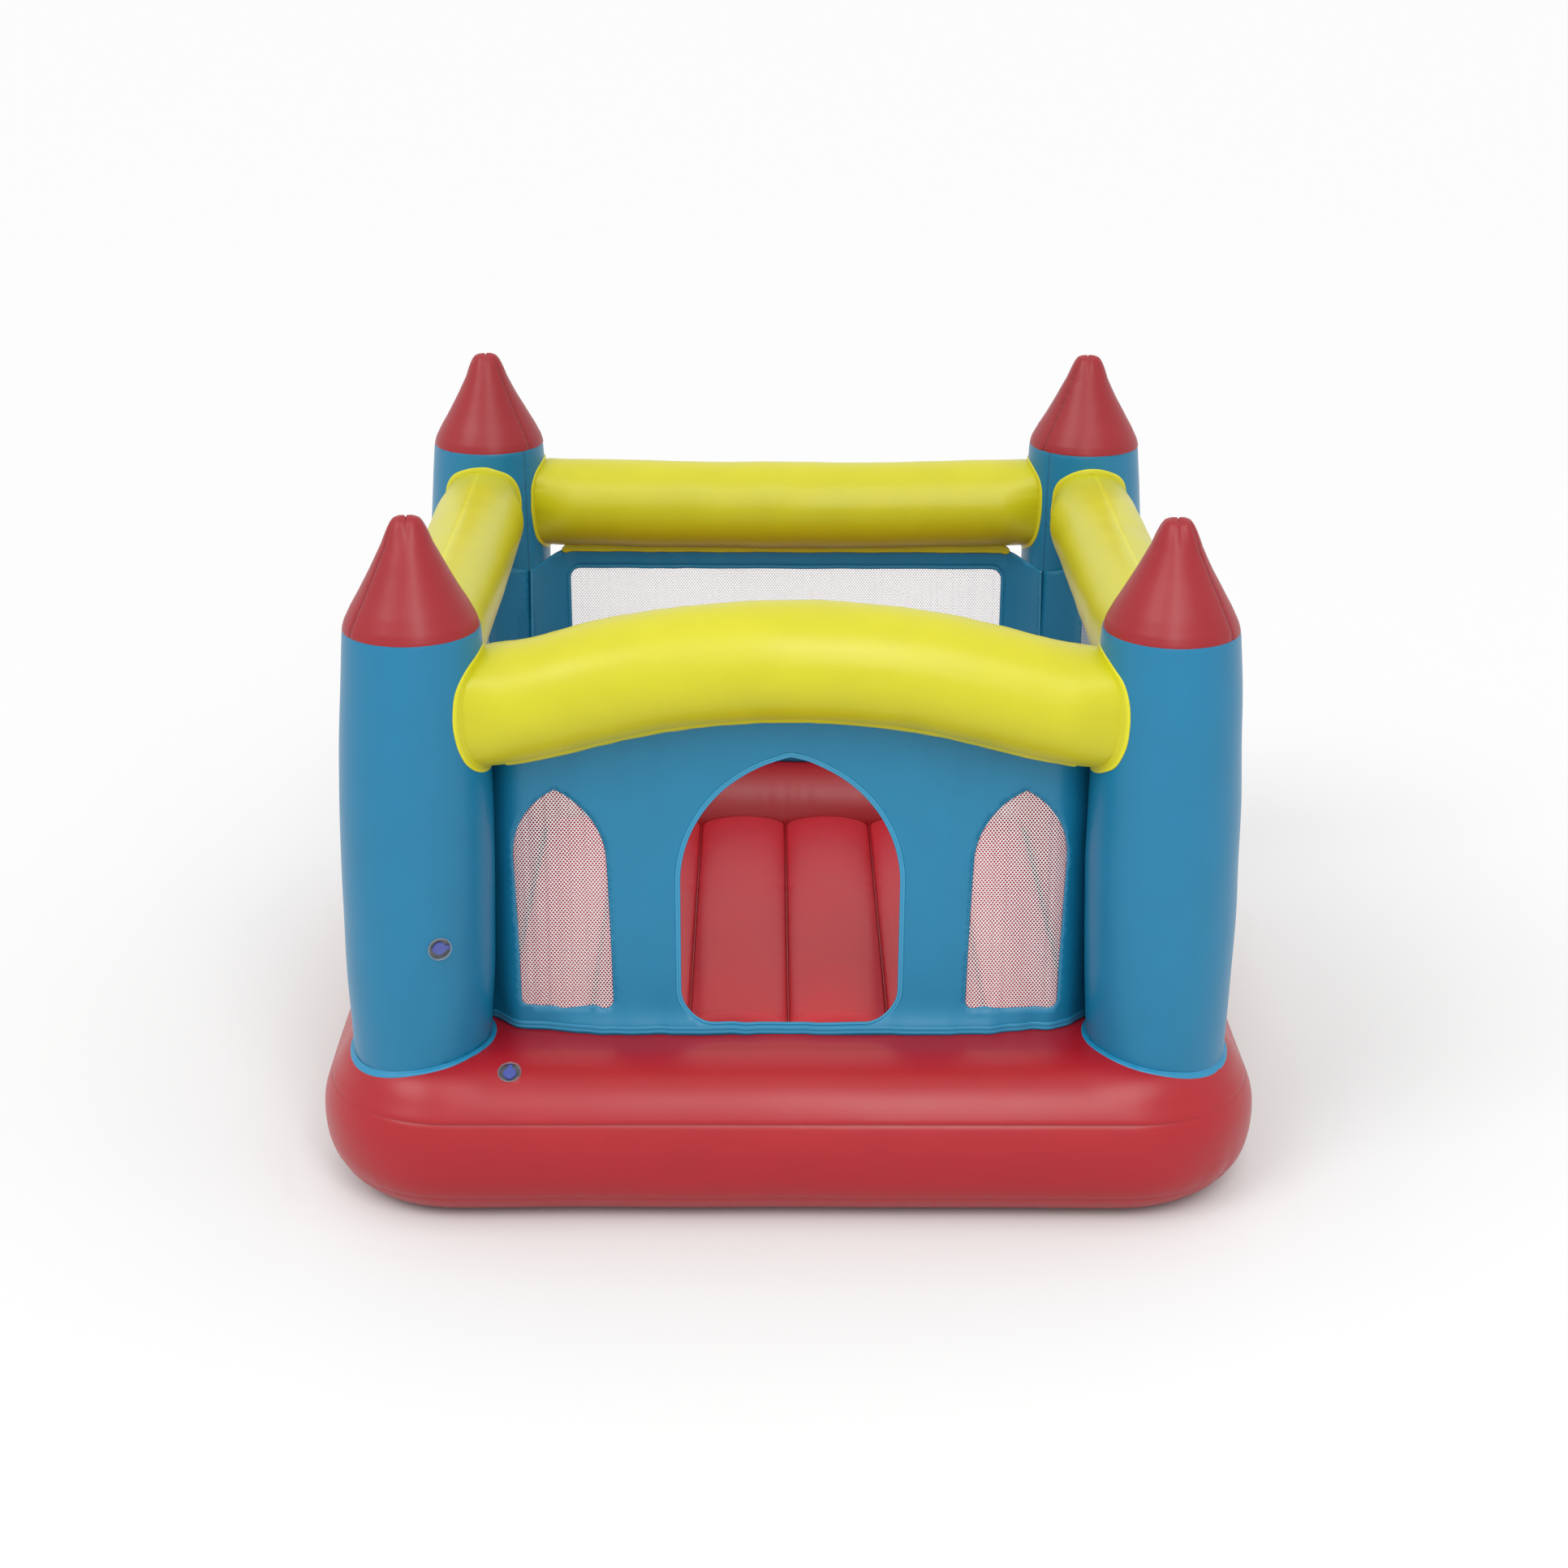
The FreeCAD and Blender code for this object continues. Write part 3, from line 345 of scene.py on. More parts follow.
def raised(x, y, z):
    # the welded foot of each tower holds the ring's shoulder up around it
    away = np.hypot(np.abs(x) - 0.684, np.abs(y) - 0.661)
    near = 1 - smooth(np.clip((away - base["footReach"]) / base["footFade"], 0, 1))
    near = near * np.clip((z - 0.235) / 0.04, 0, 1)
    # the rear stretch between its two towers stands a little fuller
    swell = base["swell"] * np.exp(-((y - base["swellMiddle"]) / base["swellSpread"]) ** 2)
    swell = swell * np.clip((z - 0.19) / 0.08, 0, 1)
    swell = swell * smooth(np.clip((0.53 - np.abs(x)) / 0.13, 0, 1))
    return base["height"] - (base["height"] - z) * (1 - base["footLift"] * near) + swell


def ringTop(x, y):
    # height of the base ring's upper surface
    halfX, halfY = base["width"] / 2, base["depth"] / 2
    fromOut = -boxDistance(x, y, halfX, halfY, base["corner"])
    fromIn = boxDistance(x, y, halfX - base["ring"], halfY - base["ring"], base["openingCorner"])
    drop = 0
    for away, bend in ((fromOut, base["outerRound"]), (fromIn, base["innerRound"])):
        short = np.clip(bend - away, 0, bend)
        drop = drop + bend - np.sqrt(bend * bend - short * short)
    return raised(x, y, base["height"] - drop)


def roundedPath(count, halfX, halfY, corner):
    # matching points of a rounded rectangle and their outward directions, corners at fixed shares
    share = base["sideShare"]
    out, at = [], []
    for k in range(count):
        s = (k / count + share / 8) % 1.0
        quarter = int(s * 4)
        f = s * 4 - quarter
        signs = [(0, -1), (1, 0), (0, 1), (-1, 0)][quarter]
        turn = quarter * math.pi / 2 - math.pi / 2
        if f < share:
            g = f / share * 2 - 1
            direction = np.array(signs, float)
            along = np.array([-direction[1], direction[0]])
            reach = halfX if signs[0] else halfY
            run = (halfY if signs[0] else halfX) - corner
            at.append(direction * reach + along * g * run)
        else:
            angle = turn + (f - share) / (1 - share) * math.pi / 2
            direction = np.array([math.cos(angle), math.sin(angle)])
            nextSign = [(1, 0), (0, 1), (-1, 0), (0, -1)][quarter]
            centre = np.array([
                (signs[0] + nextSign[0]) * (halfX - corner),
                (signs[1] + nextSign[1]) * (halfY - corner),
            ])
            at.append(centre + direction * corner)
        out.append(direction)
    return np.array(at), np.array(out)


def outerInset(z):
    # how far the outer side is drawn in at a height
    big, foot, high = base["outerRound"], base["footRound"], base["height"]
    if z < foot:
        return foot - math.sqrt(max(foot * foot - (foot - z) ** 2, 0))
    short = max(z - high + big, 0)
    return big - math.sqrt(max(big * big - short * short, 0))


def ringSection():
    # (share, inset, height): share 0 is measured in from the outer outline, 1 out from the opening's
    big, small, foot, high = base["outerRound"], base["innerRound"], base["footRound"], base["height"]
    levels = [foot - foot * math.cos(a) for a in np.linspace(0, math.pi / 2, 26)]
    levels += list(np.linspace(foot, high - big, 6)[1:-1])
    levels += [high - big + big * math.sin(a) for a in np.linspace(0, math.pi / 2, 30)]
    rows = [(0, outerInset(z), z) for z in levels]
    for f in np.linspace(0, 1, 8)[1:-1]:
        rows.append((f, None, high))
    for angle in np.linspace(90, -90, 44):
        a = math.radians(angle)
        centre = small if angle < 0 else high - small
        rows.append((1, small - small * math.cos(a), centre + small * math.sin(a)))
    for f in np.linspace(1, 0, 8)[1:-1]:
        rows.append((f, None, 0.0))
    return rows


def addSeamRows(rows, level, spread, count):
    # extra rows close to a seam on the outer side
    return rows + [(0, outerInset(level + k), level + k) for k in np.linspace(-spread, spread, count)]


def makeBase():
    count = base["around"]
    outer, direction = roundedPath(count, base["width"] / 2, base["depth"] / 2, base["corner"])
    inner, _ = roundedPath(
        count, base["width"] / 2 - base["ring"], base["depth"] / 2 - base["ring"], base["openingCorner"],
    )
    rows = ringSection()
    outerRows = addSeamRows([r for r in rows if r[0] == 0], base["upperSeam"], 0.009, 9)
    outerRows = addSeamRows(outerRows, base["lowerSeam"], 0.010, 7)
    outerRows = sorted(outerRows, key=lambda r: r[2])
    rows = outerRows + [r for r in rows if r[0] != 0]
    big, small = base["outerRound"], base["innerRound"]
    grid = np.zeros((count, len(rows), 3))
    plain = np.zeros_like(grid)
    for j, (share, inset, z) in enumerate(rows):
        if inset is None:
            a = outer - direction * (big if z > 0 else base["footRound"])
            b = inner + direction * small
            flat = a * (1 - share) + b * share
        else:
            flat = inner + direction * inset if share == 1 else outer - direction * inset
        grid[:, j, :2] = flat
        plain[:, j] = np.column_stack([flat, np.full(count, z)])
        grid[:, j, 2] = raised(flat[:, 0], flat[:, 1], np.full(count, z)) if z > 0.16 else z
    n = normals(grid, True, True)
    if (n[:, len(outerRows) // 2, :2] * direction).sum() < 0:
        n = -n
    step = np.linalg.norm(np.roll(outer, -1, 0) - outer, axis=1)
    along = np.concatenate([[0], np.cumsum(step)[:-1]])
    total = step.sum()
    s = np.repeat(along[:, None], len(rows), 1)
    z = np.repeat([[r[2] for r in rows]], count, 0)
    outside = np.array([1.0 if r[0] == 0 else 0.0 for r in rows])[None]
    inside = np.array([1.0 if r[0] == 1 else 0.0 for r in rows])[None]
    turning = np.abs(direction).min(1)[:, None] * 1.4
    push = base["wave"] * noiseField(3, s / total, z * 1.2, 34, 5)
    upper, lower = z - base["upperSeam"], z - base["lowerSeam"]
    push = push + outside * groove(upper, *base["upperGroove"]) * (1 - 0.7 * np.clip(turning, 0, 1))
    push = push + outside * pleats(11, s, upper, total, *base["upperPleats"])
    push = push + outside * groove(lower, *base["lowerGroove"])
    push = push + outside * pleats(21, s, lower, total, *base["lowerPleats"])
    push = push + outside * turning * pleats(31, s, lower - 0.01, total, *base["cornerPleats"])
    push = push + outside * base["bulge"] * np.exp(-((z - base["bulgeHeight"]) / base["bulgeSpread"]) ** 2)
    push = push + inside * pleats(41, s, z - 0.262, total, *base["innerPleats"]) * (0.25 + turning)
    level = np.clip((z - 0.004) / 0.02, 0, 1)
    grid = grid + n * (push * level)[:, :, None]
    near = nearValve(plain, valves["base_valve"])
    grid = grid * (1 - near) + plain * near
    grid[:, :, 2] = np.maximum(grid[:, :, 2], 0.0)
    fade = 1 - 0.8 * np.clip(turning * 1.3, 0, 1)
    lines = np.exp(-(upper / 0.0016) ** 2) + 0.3 * np.exp(-(lower / 0.0022) ** 2)
    mark = outside * fade * np.clip(lines, 0, 1)
    piece = Piece()
    piece.grid(grid, True, True, mark=np.broadcast_to(mark, z.shape), flip=True)
    piece.bore(valves["base_valve"])
    skin = piece.make("base_ring_film", redVinyl)
    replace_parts(skin, "base_tube")


makeBase()
print("base ring built")


# floor cushion

floor = {
    "halfX": 0.549,
    "halfY": 0.539,
    "pitch": 0.193,
    "crown": 0.260,
    "valley": 0.228,
    "endRound": 0.055,
    "endDrop": 0.030,
    "valleyDrop": 0.012,
    "wave": 0.0012,
    "pleats": (0.045, 0.016, 0.0016),
}


def makeFloor():
    seams = [-floor["halfX"]] + [k * floor["pitch"] for k in range(-2, 3)] + [floor["halfX"]]
    xs = []
    for a, b in zip(seams, seams[1:]):
        t = np.linspace(0, 1, 34)[:-1]
        xs.append(a + (b - a) * (0.5 - 0.5 * np.cos(np.pi * t)) * 0.5 + (b - a) * t * 0.5)
    xs = np.concatenate(xs + [[floor["halfX"]]])
    t = np.linspace(-1, 1, 190)
    ys = floor["halfY"] * (0.25 * t + 0.75 * np.sin(t * np.pi / 2))
    X, Y = np.meshgrid(xs, ys, indexing="ij")
    cell = np.clip(np.searchsorted(seams, X, side="right") - 1, 0, 5)
    left, right = np.array(seams)[cell], np.array(seams)[cell + 1]
    across = (X - left) / (right - left)
    away = np.minimum(X - left, right - X)
    crown = np.sqrt(np.clip(1 - (2 * across - 1) ** 2, 0, 1)) ** 0.8
    end = np.clip((floor["halfY"] - np.abs(Y)) / floor["endRound"], 0, 1)
    dome = np.sqrt(np.clip(1 - (1 - end) ** 2, 0, 1))
    Z = floor["valley"] + (floor["crown"] - floor["valley"]) * crown * dome
    Z = Z - floor["endDrop"] * (1 - dome) ** 1.1 - floor["valleyDrop"] * (1 - dome) * (1 - crown)
    inner = np.abs(X) < floor["halfX"] - 0.02
    Z = Z + pleats(51, Y + 1, away, 2.0, *floor["pleats"]) * inner * dome
    Z = Z + floor["wave"] * noiseField(8, X / 2 + 0.5, Y / 2 + 0.5, 22, 9)
    mark = np.exp(-(away / 0.0022) ** 2) * inner
    piece = Piece()
    piece.grid(np.stack([X, Y, Z], 2), mark=mark)
    lastX, lastY = len(xs) - 1, len(ys) - 1
    edge = [(i, 0) for i in range(lastX + 1)] + [(lastX, j) for j in range(1, lastY + 1)]
    edge += [(i, lastY) for i in range(lastX - 1, -1, -1)] + [(0, j) for j in range(lastY - 1, 0, -1)]
    rim = np.array([[X[e], Y[e], Z[e]] for e in edge])
    foot = rim.copy()
    foot[:, 2] = 0.002
    mid = (rim + foot) / 2
    mid[:, :2] *= 0.9985
    piece.grid(np.stack([rim, mid, foot], 1), wrapU=True, flip=True)
    piece.fan(foot, np.array([[0, 0, 0.002]]), flip=True)
    skin = piece.make("bounce_floor_film", floorVinyl)
    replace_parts(skin, "bounce_floor")


makeFloor()
print("floor built")


# towers and roofs

tower = {
    "x": 0.677,
    "y": 0.661,
    "foot": 0.129,
    "belly": 0.138,
    "bellyHeight": 0.680,
    "shoulder": 0.121,
    "top": 1.100,
    "tip": 1.300,
    "leanFoot": 0.008,
    "leanTop": -0.010,
    "wave": 0.0012,
    "topGroove": (0.0035, 0.0010),
    "footGroove": (0.006, 0.0016),
    "seamGroove": (0.003, 0.0015),
    "topPleats": (0.030, 0.016, 0.0012),
    "footPleats": (0.040, 0.026, 0.0020),
    "seamPleats": (0.028, 0.016, 0.0022),
    # foot flange: distance out from the tower's wall and height above the base
    "flange": ((0.0, 0.0030), (0.003, 0.0016), (0.0055, 0.0022), (0.0080, 0.0012), (0.0080, -0.001)),
    "flangeRipple": 0.0011,
}
corners = {"front_left": (-1, -1), "front_right": (1, -1), "rear_left": (-1, 1), "rear_right": (1, 1)}


def towerRadius(z):
    a, b, c = 0.300, tower["bellyHeight"], tower["top"]
    ra, rb, rc = tower["foot"], tower["belly"], tower["shoulder"]
    return (ra * (z - b) * (z - c) / ((a - b) * (a - c)) + rb * (z - a) * (z - c) / ((b - a) * (b - c))
            + rc * (z - a) * (z - b) / ((c - a) * (c - b)))


def towerAxis(corner, z):
    # the towers lean in a little towards their tops
    sx, sy = corners[corner]
    share = (z - 0.3) / 0.8
    lean = tower["leanFoot"] + (tower["leanTop"] - tower["leanFoot"]) * share
    return sx * (tower["x"] + lean), sy * tower["y"] + 0 * z


def towerPoint(corner, angle, z, grow=0.0):
    x, y = towerAxis(corner, z)
    r = towerRadius(z) + grow
    return np.stack(np.broadcast_arrays(x + r * np.cos(angle), y + r * np.sin(angle), z), -1)


def footLevel(corner, angle, grow=0.0, sink=0.0):
    # where the tower's wall meets the base ring
    z = np.full_like(angle, 0.28)
    for _ in range(6):
        p = towerPoint(corner, angle, z, grow)
        z = ringTop(p[..., 0], p[..., 1]) - sink
    return z


def makeTower(name):
    sx, sy = corners[name]
    seed = 100 + 10 * list(corners).index(name)
    angle = np.linspace(0, 2 * np.pi, 240, endpoint=False)
    low = footLevel(name, angle, sink=0.004)
    t = np.linspace(0, 1, 150)
    t = 0.35 * t + 0.65 * (0.5 - 0.5 * np.cos(np.pi * t))
    A = np.repeat(angle[:, None], len(t), 1)
    Z = low[:, None] + (tower["top"] - low[:, None]) * t[None]
    r = towerRadius(Z)
    turn = A / (2 * np.pi)
    seamAngle = math.atan2(-sy, -sx)
    fromSeam = (np.mod(A - seamAngle + np.pi, 2 * np.pi) - np.pi) * r
    total = 2 * np.pi * 0.13
    push = tower["wave"] * noiseField(seed, turn, Z, 7, 9)
    push = push + pleats(seed + 1, turn * total, tower["top"] - Z, total, *tower["topPleats"])
    push = push + pleats(seed + 2, turn * total, Z - low[:, None], total, *tower["footPleats"])
    push = push + pleats(seed + 3, Z, fromSeam, 1.0, *tower["seamPleats"]) + groove(fromSeam, *tower["seamGroove"])
    push = push + groove(tower["top"] - Z, *tower["topGroove"]) + groove(Z - low[:, None], *tower["footGroove"])
    points = towerPoint(name, A, Z, push)
    if name == "front_left":
        near = nearValve(points, valves["tower_valve"])
        points = points * (1 - near) + towerPoint(name, A, Z, 0 * push) * near
    mark = np.exp(-(fromSeam / 0.0018) ** 2)
    piece = Piece()
    piece.grid(points, wrapU=True, mark=mark)
    if name == "front_left":
        piece.bore(valves["tower_valve"])
    x, y = towerAxis(name, 1.098)
    piece.fan(points[:, -1], np.array([[x, y, 1.099]]))
    x, y = towerAxis(name, 0.27)
    piece.fan(points[:, 0], np.array([[x, y, 0.285]]), flip=True)
    skin = piece.make(name + "_tower_film", blueVinyl)
    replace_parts(skin, name + "_tower")
    # weld flange around the foot
    angles = np.linspace(0, 2 * np.pi, 260, endpoint=False)
    ripple = tower["flangeRipple"] * noiseLine(seed + 4, angles / (2 * np.pi), 60)
    rows = []
    for grow, lift in tower["flange"]:
        z = footLevel(name, angles, grow)
        p = towerPoint(name, angles, z, grow)
        p[:, 2] += lift + ripple * (grow > 0.003)
        rows.append(p)
    flange = Piece()
    # faint painted highlight along the flange's raised ridge, in the tape's lighter tone
    flange.grid(np.stack(rows, 1), wrapU=True, mark=np.repeat([[0, 0, 0.1, 0, 0]], len(angles), 0))
    ring = flange.make(name + "_foot_flange", tapeBlue)
    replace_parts(ring, name + "_foot_weld")


roof = {
    "seamAngle": {"front_left": 3.77, "front_right": 5.65, "rear_left": 5.65, "rear_right": 3.77},
    # share of the height, and radius
    "shape": (
        (0, 0.121), (0.08, 0.1160), (0.20, 0.1040), (0.32, 0.0900), (0.53, 0.0670), (0.75, 0.0450),
        (0.88, 0.0320), (0.94, 0.0255), (0.975, 0.0200), (0.993, 0.0125), (1.0, 0.0040),
    ),
    "wave": 0.0010,
    "seamGroove": (0.0030, 0.0022),
    "rimGroove": (0.003, 0.0008),
    "seamPleats": (0.013, 0.009, 0.0022),
    "rimPleats": (0.030, 0.014, 0.0010),
    "tipHeight": 0.05,
    "tipDrop": 0.005,
    "tipFold": 0.24,
    "tipPinch": 0.08,
    "tipUneven": 0.06,
}


def makeRoof(name):
    seed = 200 + 10 * list(corners).index(name)
    seamAngle = roof["seamAngle"][name]
    angle = np.linspace(0, 2 * np.pi, 200, endpoint=False)
    t = np.linspace(0, 1, 96)
    t = 0.6 * t + 0.4 * (0.5 - 0.5 * np.cos(np.pi * t))
    shape = np.array(roof["shape"])
    radius = np.interp(t, shape[:, 0], shape[:, 1])
    kernel = np.hanning(7) / np.hanning(7).sum()
    radius[4:-6] = np.convolve(radius, kernel, "same")[4:-6]
    A = np.repeat(angle[:, None], len(t), 1)
    Z = tower["top"] + (tower["tip"] - tower["top"]) * np.repeat(t[None], len(angle), 0)
    R = np.repeat(radius[None], len(angle), 0)
    fromSeam = (np.mod(A - seamAngle + np.pi, 2 * np.pi) - np.pi) * R
    opposite = (np.mod(A - seamAngle, 2 * np.pi) - np.pi) * R
    total = 2 * np.pi * 0.12
    turn = A / (2 * np.pi)
    tip = np.clip((Z - tower["tip"] + roof["tipHeight"]) / roof["tipHeight"], 0, 1)
    push = roof["wave"] * noiseField(seed, turn, Z * 2, 7, 9)
    for k, away in enumerate((fromSeam, opposite)):
        push = push + pleats(seed + 1 + 5 * k, Z * 2, away, 2.0, *roof["seamPleats"]) * (1 - tip)
        push = push + groove(away, *roof["seamGroove"]) * (1 - 0.5 * tip)
    push = push + pleats(seed + 3, turn * total, Z - tower["top"], total, *roof["rimPleats"])
    push = push + groove(Z - tower["top"], *roof["rimGroove"])
    lobeAngle = 0.35 * noiseLine(seed + 6, 0.3, 5)
    lobe = np.abs(np.cos(A - lobeAngle))
    uneven = roof["tipUneven"] * noiseLine(seed + 4, turn, 14)
    push = push + tip * R * (roof["tipFold"] * lobe - roof["tipPinch"] + uneven)
    x, y = towerAxis(name, np.full_like(Z, 1.1))
    points = np.stack([x + (R + push) * np.cos(A), y + (R + push) * np.sin(A), Z], -1)
    points[:, :, 2] -= roof["tipDrop"] * tip ** 2 * (1 - lobe) ** 1.5
    mark = np.clip(np.exp(-(fromSeam / 0.0016) ** 2) + np.exp(-(opposite / 0.0016) ** 2), 0, 1) * (1 - tip)
    piece = Piece()
    piece.grid(points, wrapU=True, mark=mark)
    piece.fan(points[:, -1], points[:, -1].mean(0)[None] - [[0, 0, 0.004]])
    piece.fan(points[:, 0], np.array([[x[0, 0], y[0, 0], 1.101]]), flip=True)
    skin = piece.make(name + "_roof_film", roofVinyl)
    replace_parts(skin, name + "_cone")


for name in corners:
    makeTower(name)
    makeRoof(name)
print("towers built")


# bars between the towers

bars = {
    "radius": 0.097,
    "height": 0.963,
    "archRadius": 0.107,
    "archHeight": 0.942,
    "archRise": 0.095,
    "archEndBend": 1.050,
    "archFlange": 0.016,
    "flange": 0.007,
    "taper": 0.20,
    "endReach": {"front": 0.098, "rear": 0.078, "left": 0.082, "right": 0.082},
    "sag": 0.010,
    "rearLift": 0.002,
    "sideLift": 0.006,
    "sideIn": 0.003,
    "wave": 0.0014,
    "endGroove": (0.008, 0.0020),
    "endPleats": (0.040, 0.030, 0.0026),
    # degrees up from the outward direction
    "seamAngle": {"front": 116, "rear": 80, "left": 88, "right": 88},
    "seamDepth": {"front": 0.0022, "rear": 0.0010, "left": 0.0016, "right": 0.0016},
    "seamPleats": (0.036, 0.016),
    "seamWidth": 0.0030,
}


def archCentre(x):
    # height and slope of the front bar's centreline
    span, rise = tower["x"], bars["archRise"]
    turn = 2 * math.atan(rise / span)
    bend = bars["archEndBend"]
    hump = span / math.sin(turn) - bend
    low = bars["archHeight"]
    meet = hump * math.sin(turn)
    x = np.asarray(x, float)
    a = np.abs(x)
    middle = low + rise - hump + np.sqrt(np.maximum(hump ** 2 - a ** 2, 1e-6))
    outer = low + bend - np.sqrt(np.maximum(bend ** 2 - (span - a) ** 2, 1e-6))
    z = np.where(a < meet, middle, outer)
    slope = np.where(a < meet, a / np.sqrt(np.maximum(hump ** 2 - a ** 2, 1e-6)),
                     (span - a) / np.sqrt(np.maximum(bend ** 2 - (span - a) ** 2, 1e-6)))
    return z, -np.sign(x) * slope


def barFrame(wall, s):
    # centre, upward and outward directions of a bar at a distance s from its middle
    s = np.asarray(s, float)
    one, zero = np.ones_like(s), np.zeros_like(s)
    if wall == "front":
        z, slope = archCentre(s)
        length = np.sqrt(1 + slope ** 2)
        up = np.stack([-slope / length, zero, one / length], -1)
        return np.stack([s, -tower["y"] * one, z], -1), up, np.array([0, -1.0, 0])
    up = np.stack([zero, zero, one], -1)
    sag = bars["sag"] * (1 - (s / 0.6) ** 2)
    if wall == "rear":
        z = bars["height"] + bars["rearLift"] - sag
        return np.stack([s, tower["y"] * one, z], -1), up, np.array([0, 1.0, 0])
    side = -1 if wall == "left" else 1
    z = bars["height"] + bars["sideLift"] - sag * 0.5
    return np.stack([side * (tower["x"] - bars["sideIn"]) * one, s, z], -1), up, np.array([side, 0, 0.0])


def barRadius(wall):
    return bars["archRadius"] if wall == "front" else bars["radius"]


barEnds = {
    "front": ("front_left", "front_right"),
    "rear": ("rear_left", "rear_right"),
    "left": ("front_left", "rear_left"),
    "right": ("front_right", "rear_right"),
}


def barSurface(wall, s, angle, grow=0.0):
    # angle 0 points outward from the middle of the house, 90 degrees up
    centre, up, out = barFrame(wall, s)
    r = barRadius(wall) + grow
    c, n = np.cos(angle), np.sin(angle)
    aside = r * c
    # the ends draw in sideways where they are welded to the towers
    span = tower["x"] if wall in ("front", "rear") else tower["y"]
    near = smooth(np.clip((np.abs(s) - span + bars["taper"]) / (bars["taper"] - 0.09), 0, 1))
    limit = bars["endReach"][wall] + grow
    held = aside / (1 + (np.abs(aside) / limit) ** 6) ** (1 / 6)
    aside = aside + (held - aside) * near
    return centre + aside[..., None] * out + (r * n)[..., None] * up


def barEnd(wall, angle, which, grow=0.0, standOff=0.0):
    # distance along the bar at which its wall meets the tower
    corner = barEnds[wall][which]
    sign = -1 if which == 0 else 1
    s = np.full_like(angle, sign * 0.55)
    axis = 1 if wall in ("left", "right") else 0
    for _ in range(8):
        p = barSurface(wall, s, angle, grow)
        x, y = towerAxis(corner, p[:, 2])
        R = towerRadius(p[:, 2]) + standOff
        off = p[:, 1 - axis] - (y if axis == 0 else x)
        off = np.clip(np.abs(off), 0, R * 0.97)
        wanted = (x if axis == 0 else y) - sign * np.sqrt(R ** 2 - off ** 2)
        s = s + (wanted - p[:, axis])
    return s


def makeBar(wall):
    seed = {"front": 300, "rear": 320, "left": 340, "right": 360}[wall]
    crosswise = wall in ("front", "rear")
    angle = np.linspace(0, 2 * np.pi, 128, endpoint=False)
    start, stop = barEnd(wall, angle, 0), barEnd(wall, angle, 1)
    t = np.linspace(0, 1, 220)
    t = 0.6 * t + 0.4 * (0.5 - 0.5 * np.cos(np.pi * t))
    S = start[:, None] + (stop - start)[:, None] * t[None]
    A = np.repeat(angle[:, None], len(t), 1)
    r = barRadius(wall)
    total = 2 * np.pi * r
    turn = A / (2 * np.pi)
    push = bars["wave"] * noiseField(seed, turn, (S + 0.7) / 1.4, 6, 15)
    for k, away in enumerate((S - start[:, None], stop[:, None] - S)):
        push = push + pleats(seed + 1 + 7 * k, turn * total, away, total, *bars["endPleats"])
        push = push + groove(away, *bars["endGroove"])
    away = (np.mod(A - math.radians(bars["seamAngle"][wall]) + np.pi, 2 * np.pi) - np.pi) * r
    depth = bars["seamDepth"][wall]
    if wall == "front":
        push = push - groove(away, bars["seamWidth"], depth + 0.0010 * noiseLine(seed + 20, (S + 1) / 2, 90))
    else:
        push = push + pleats(seed + 20, S + 1, away, 2.0, *bars["seamPleats"], depth)
        push = push + groove(away, bars["seamWidth"], depth)
    points = barSurface(wall, S, A, push)
    piece = Piece()
    piece.grid(points, wrapU=True, mark=np.exp(-(away / 0.0018) ** 2), flip=crosswise)
    for k, column in ((0, 0), (1, -1)):
        tip = points[:, column].mean(0)[None]
        piece.fan(points[:, column], tip, flip=(k == 1) == crosswise)
    skin = piece.make(wall + "_bar_film", yellowVinyl)
    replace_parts(skin, "front_arch_bar" if wall == "front" else wall + "_bar")
    makeCollars(wall, seed)


collars = {
    "ripple": 0.0010,
    "top": {"front": 0.0014, "rear": 0.0022, "left": 0.0022, "right": 0.0022},
    # share of the collar's width, height over the tower, and whether its top's height is added
    "section": (
        (-0.5, 0.0030, 0), (0.0, 0.0014, 1), (0.3, 0.0, 1), (0.85, 0.0006, 1), (1.0, 0.0, 1), (1.0, -0.001, 0),
    ),
    # painted highlight in the yellow's lighter tone along the collar's raised ridge and its outer edge
    "mark": (0, 0.1, 0, 0.9, 0.5, 0.2),
}


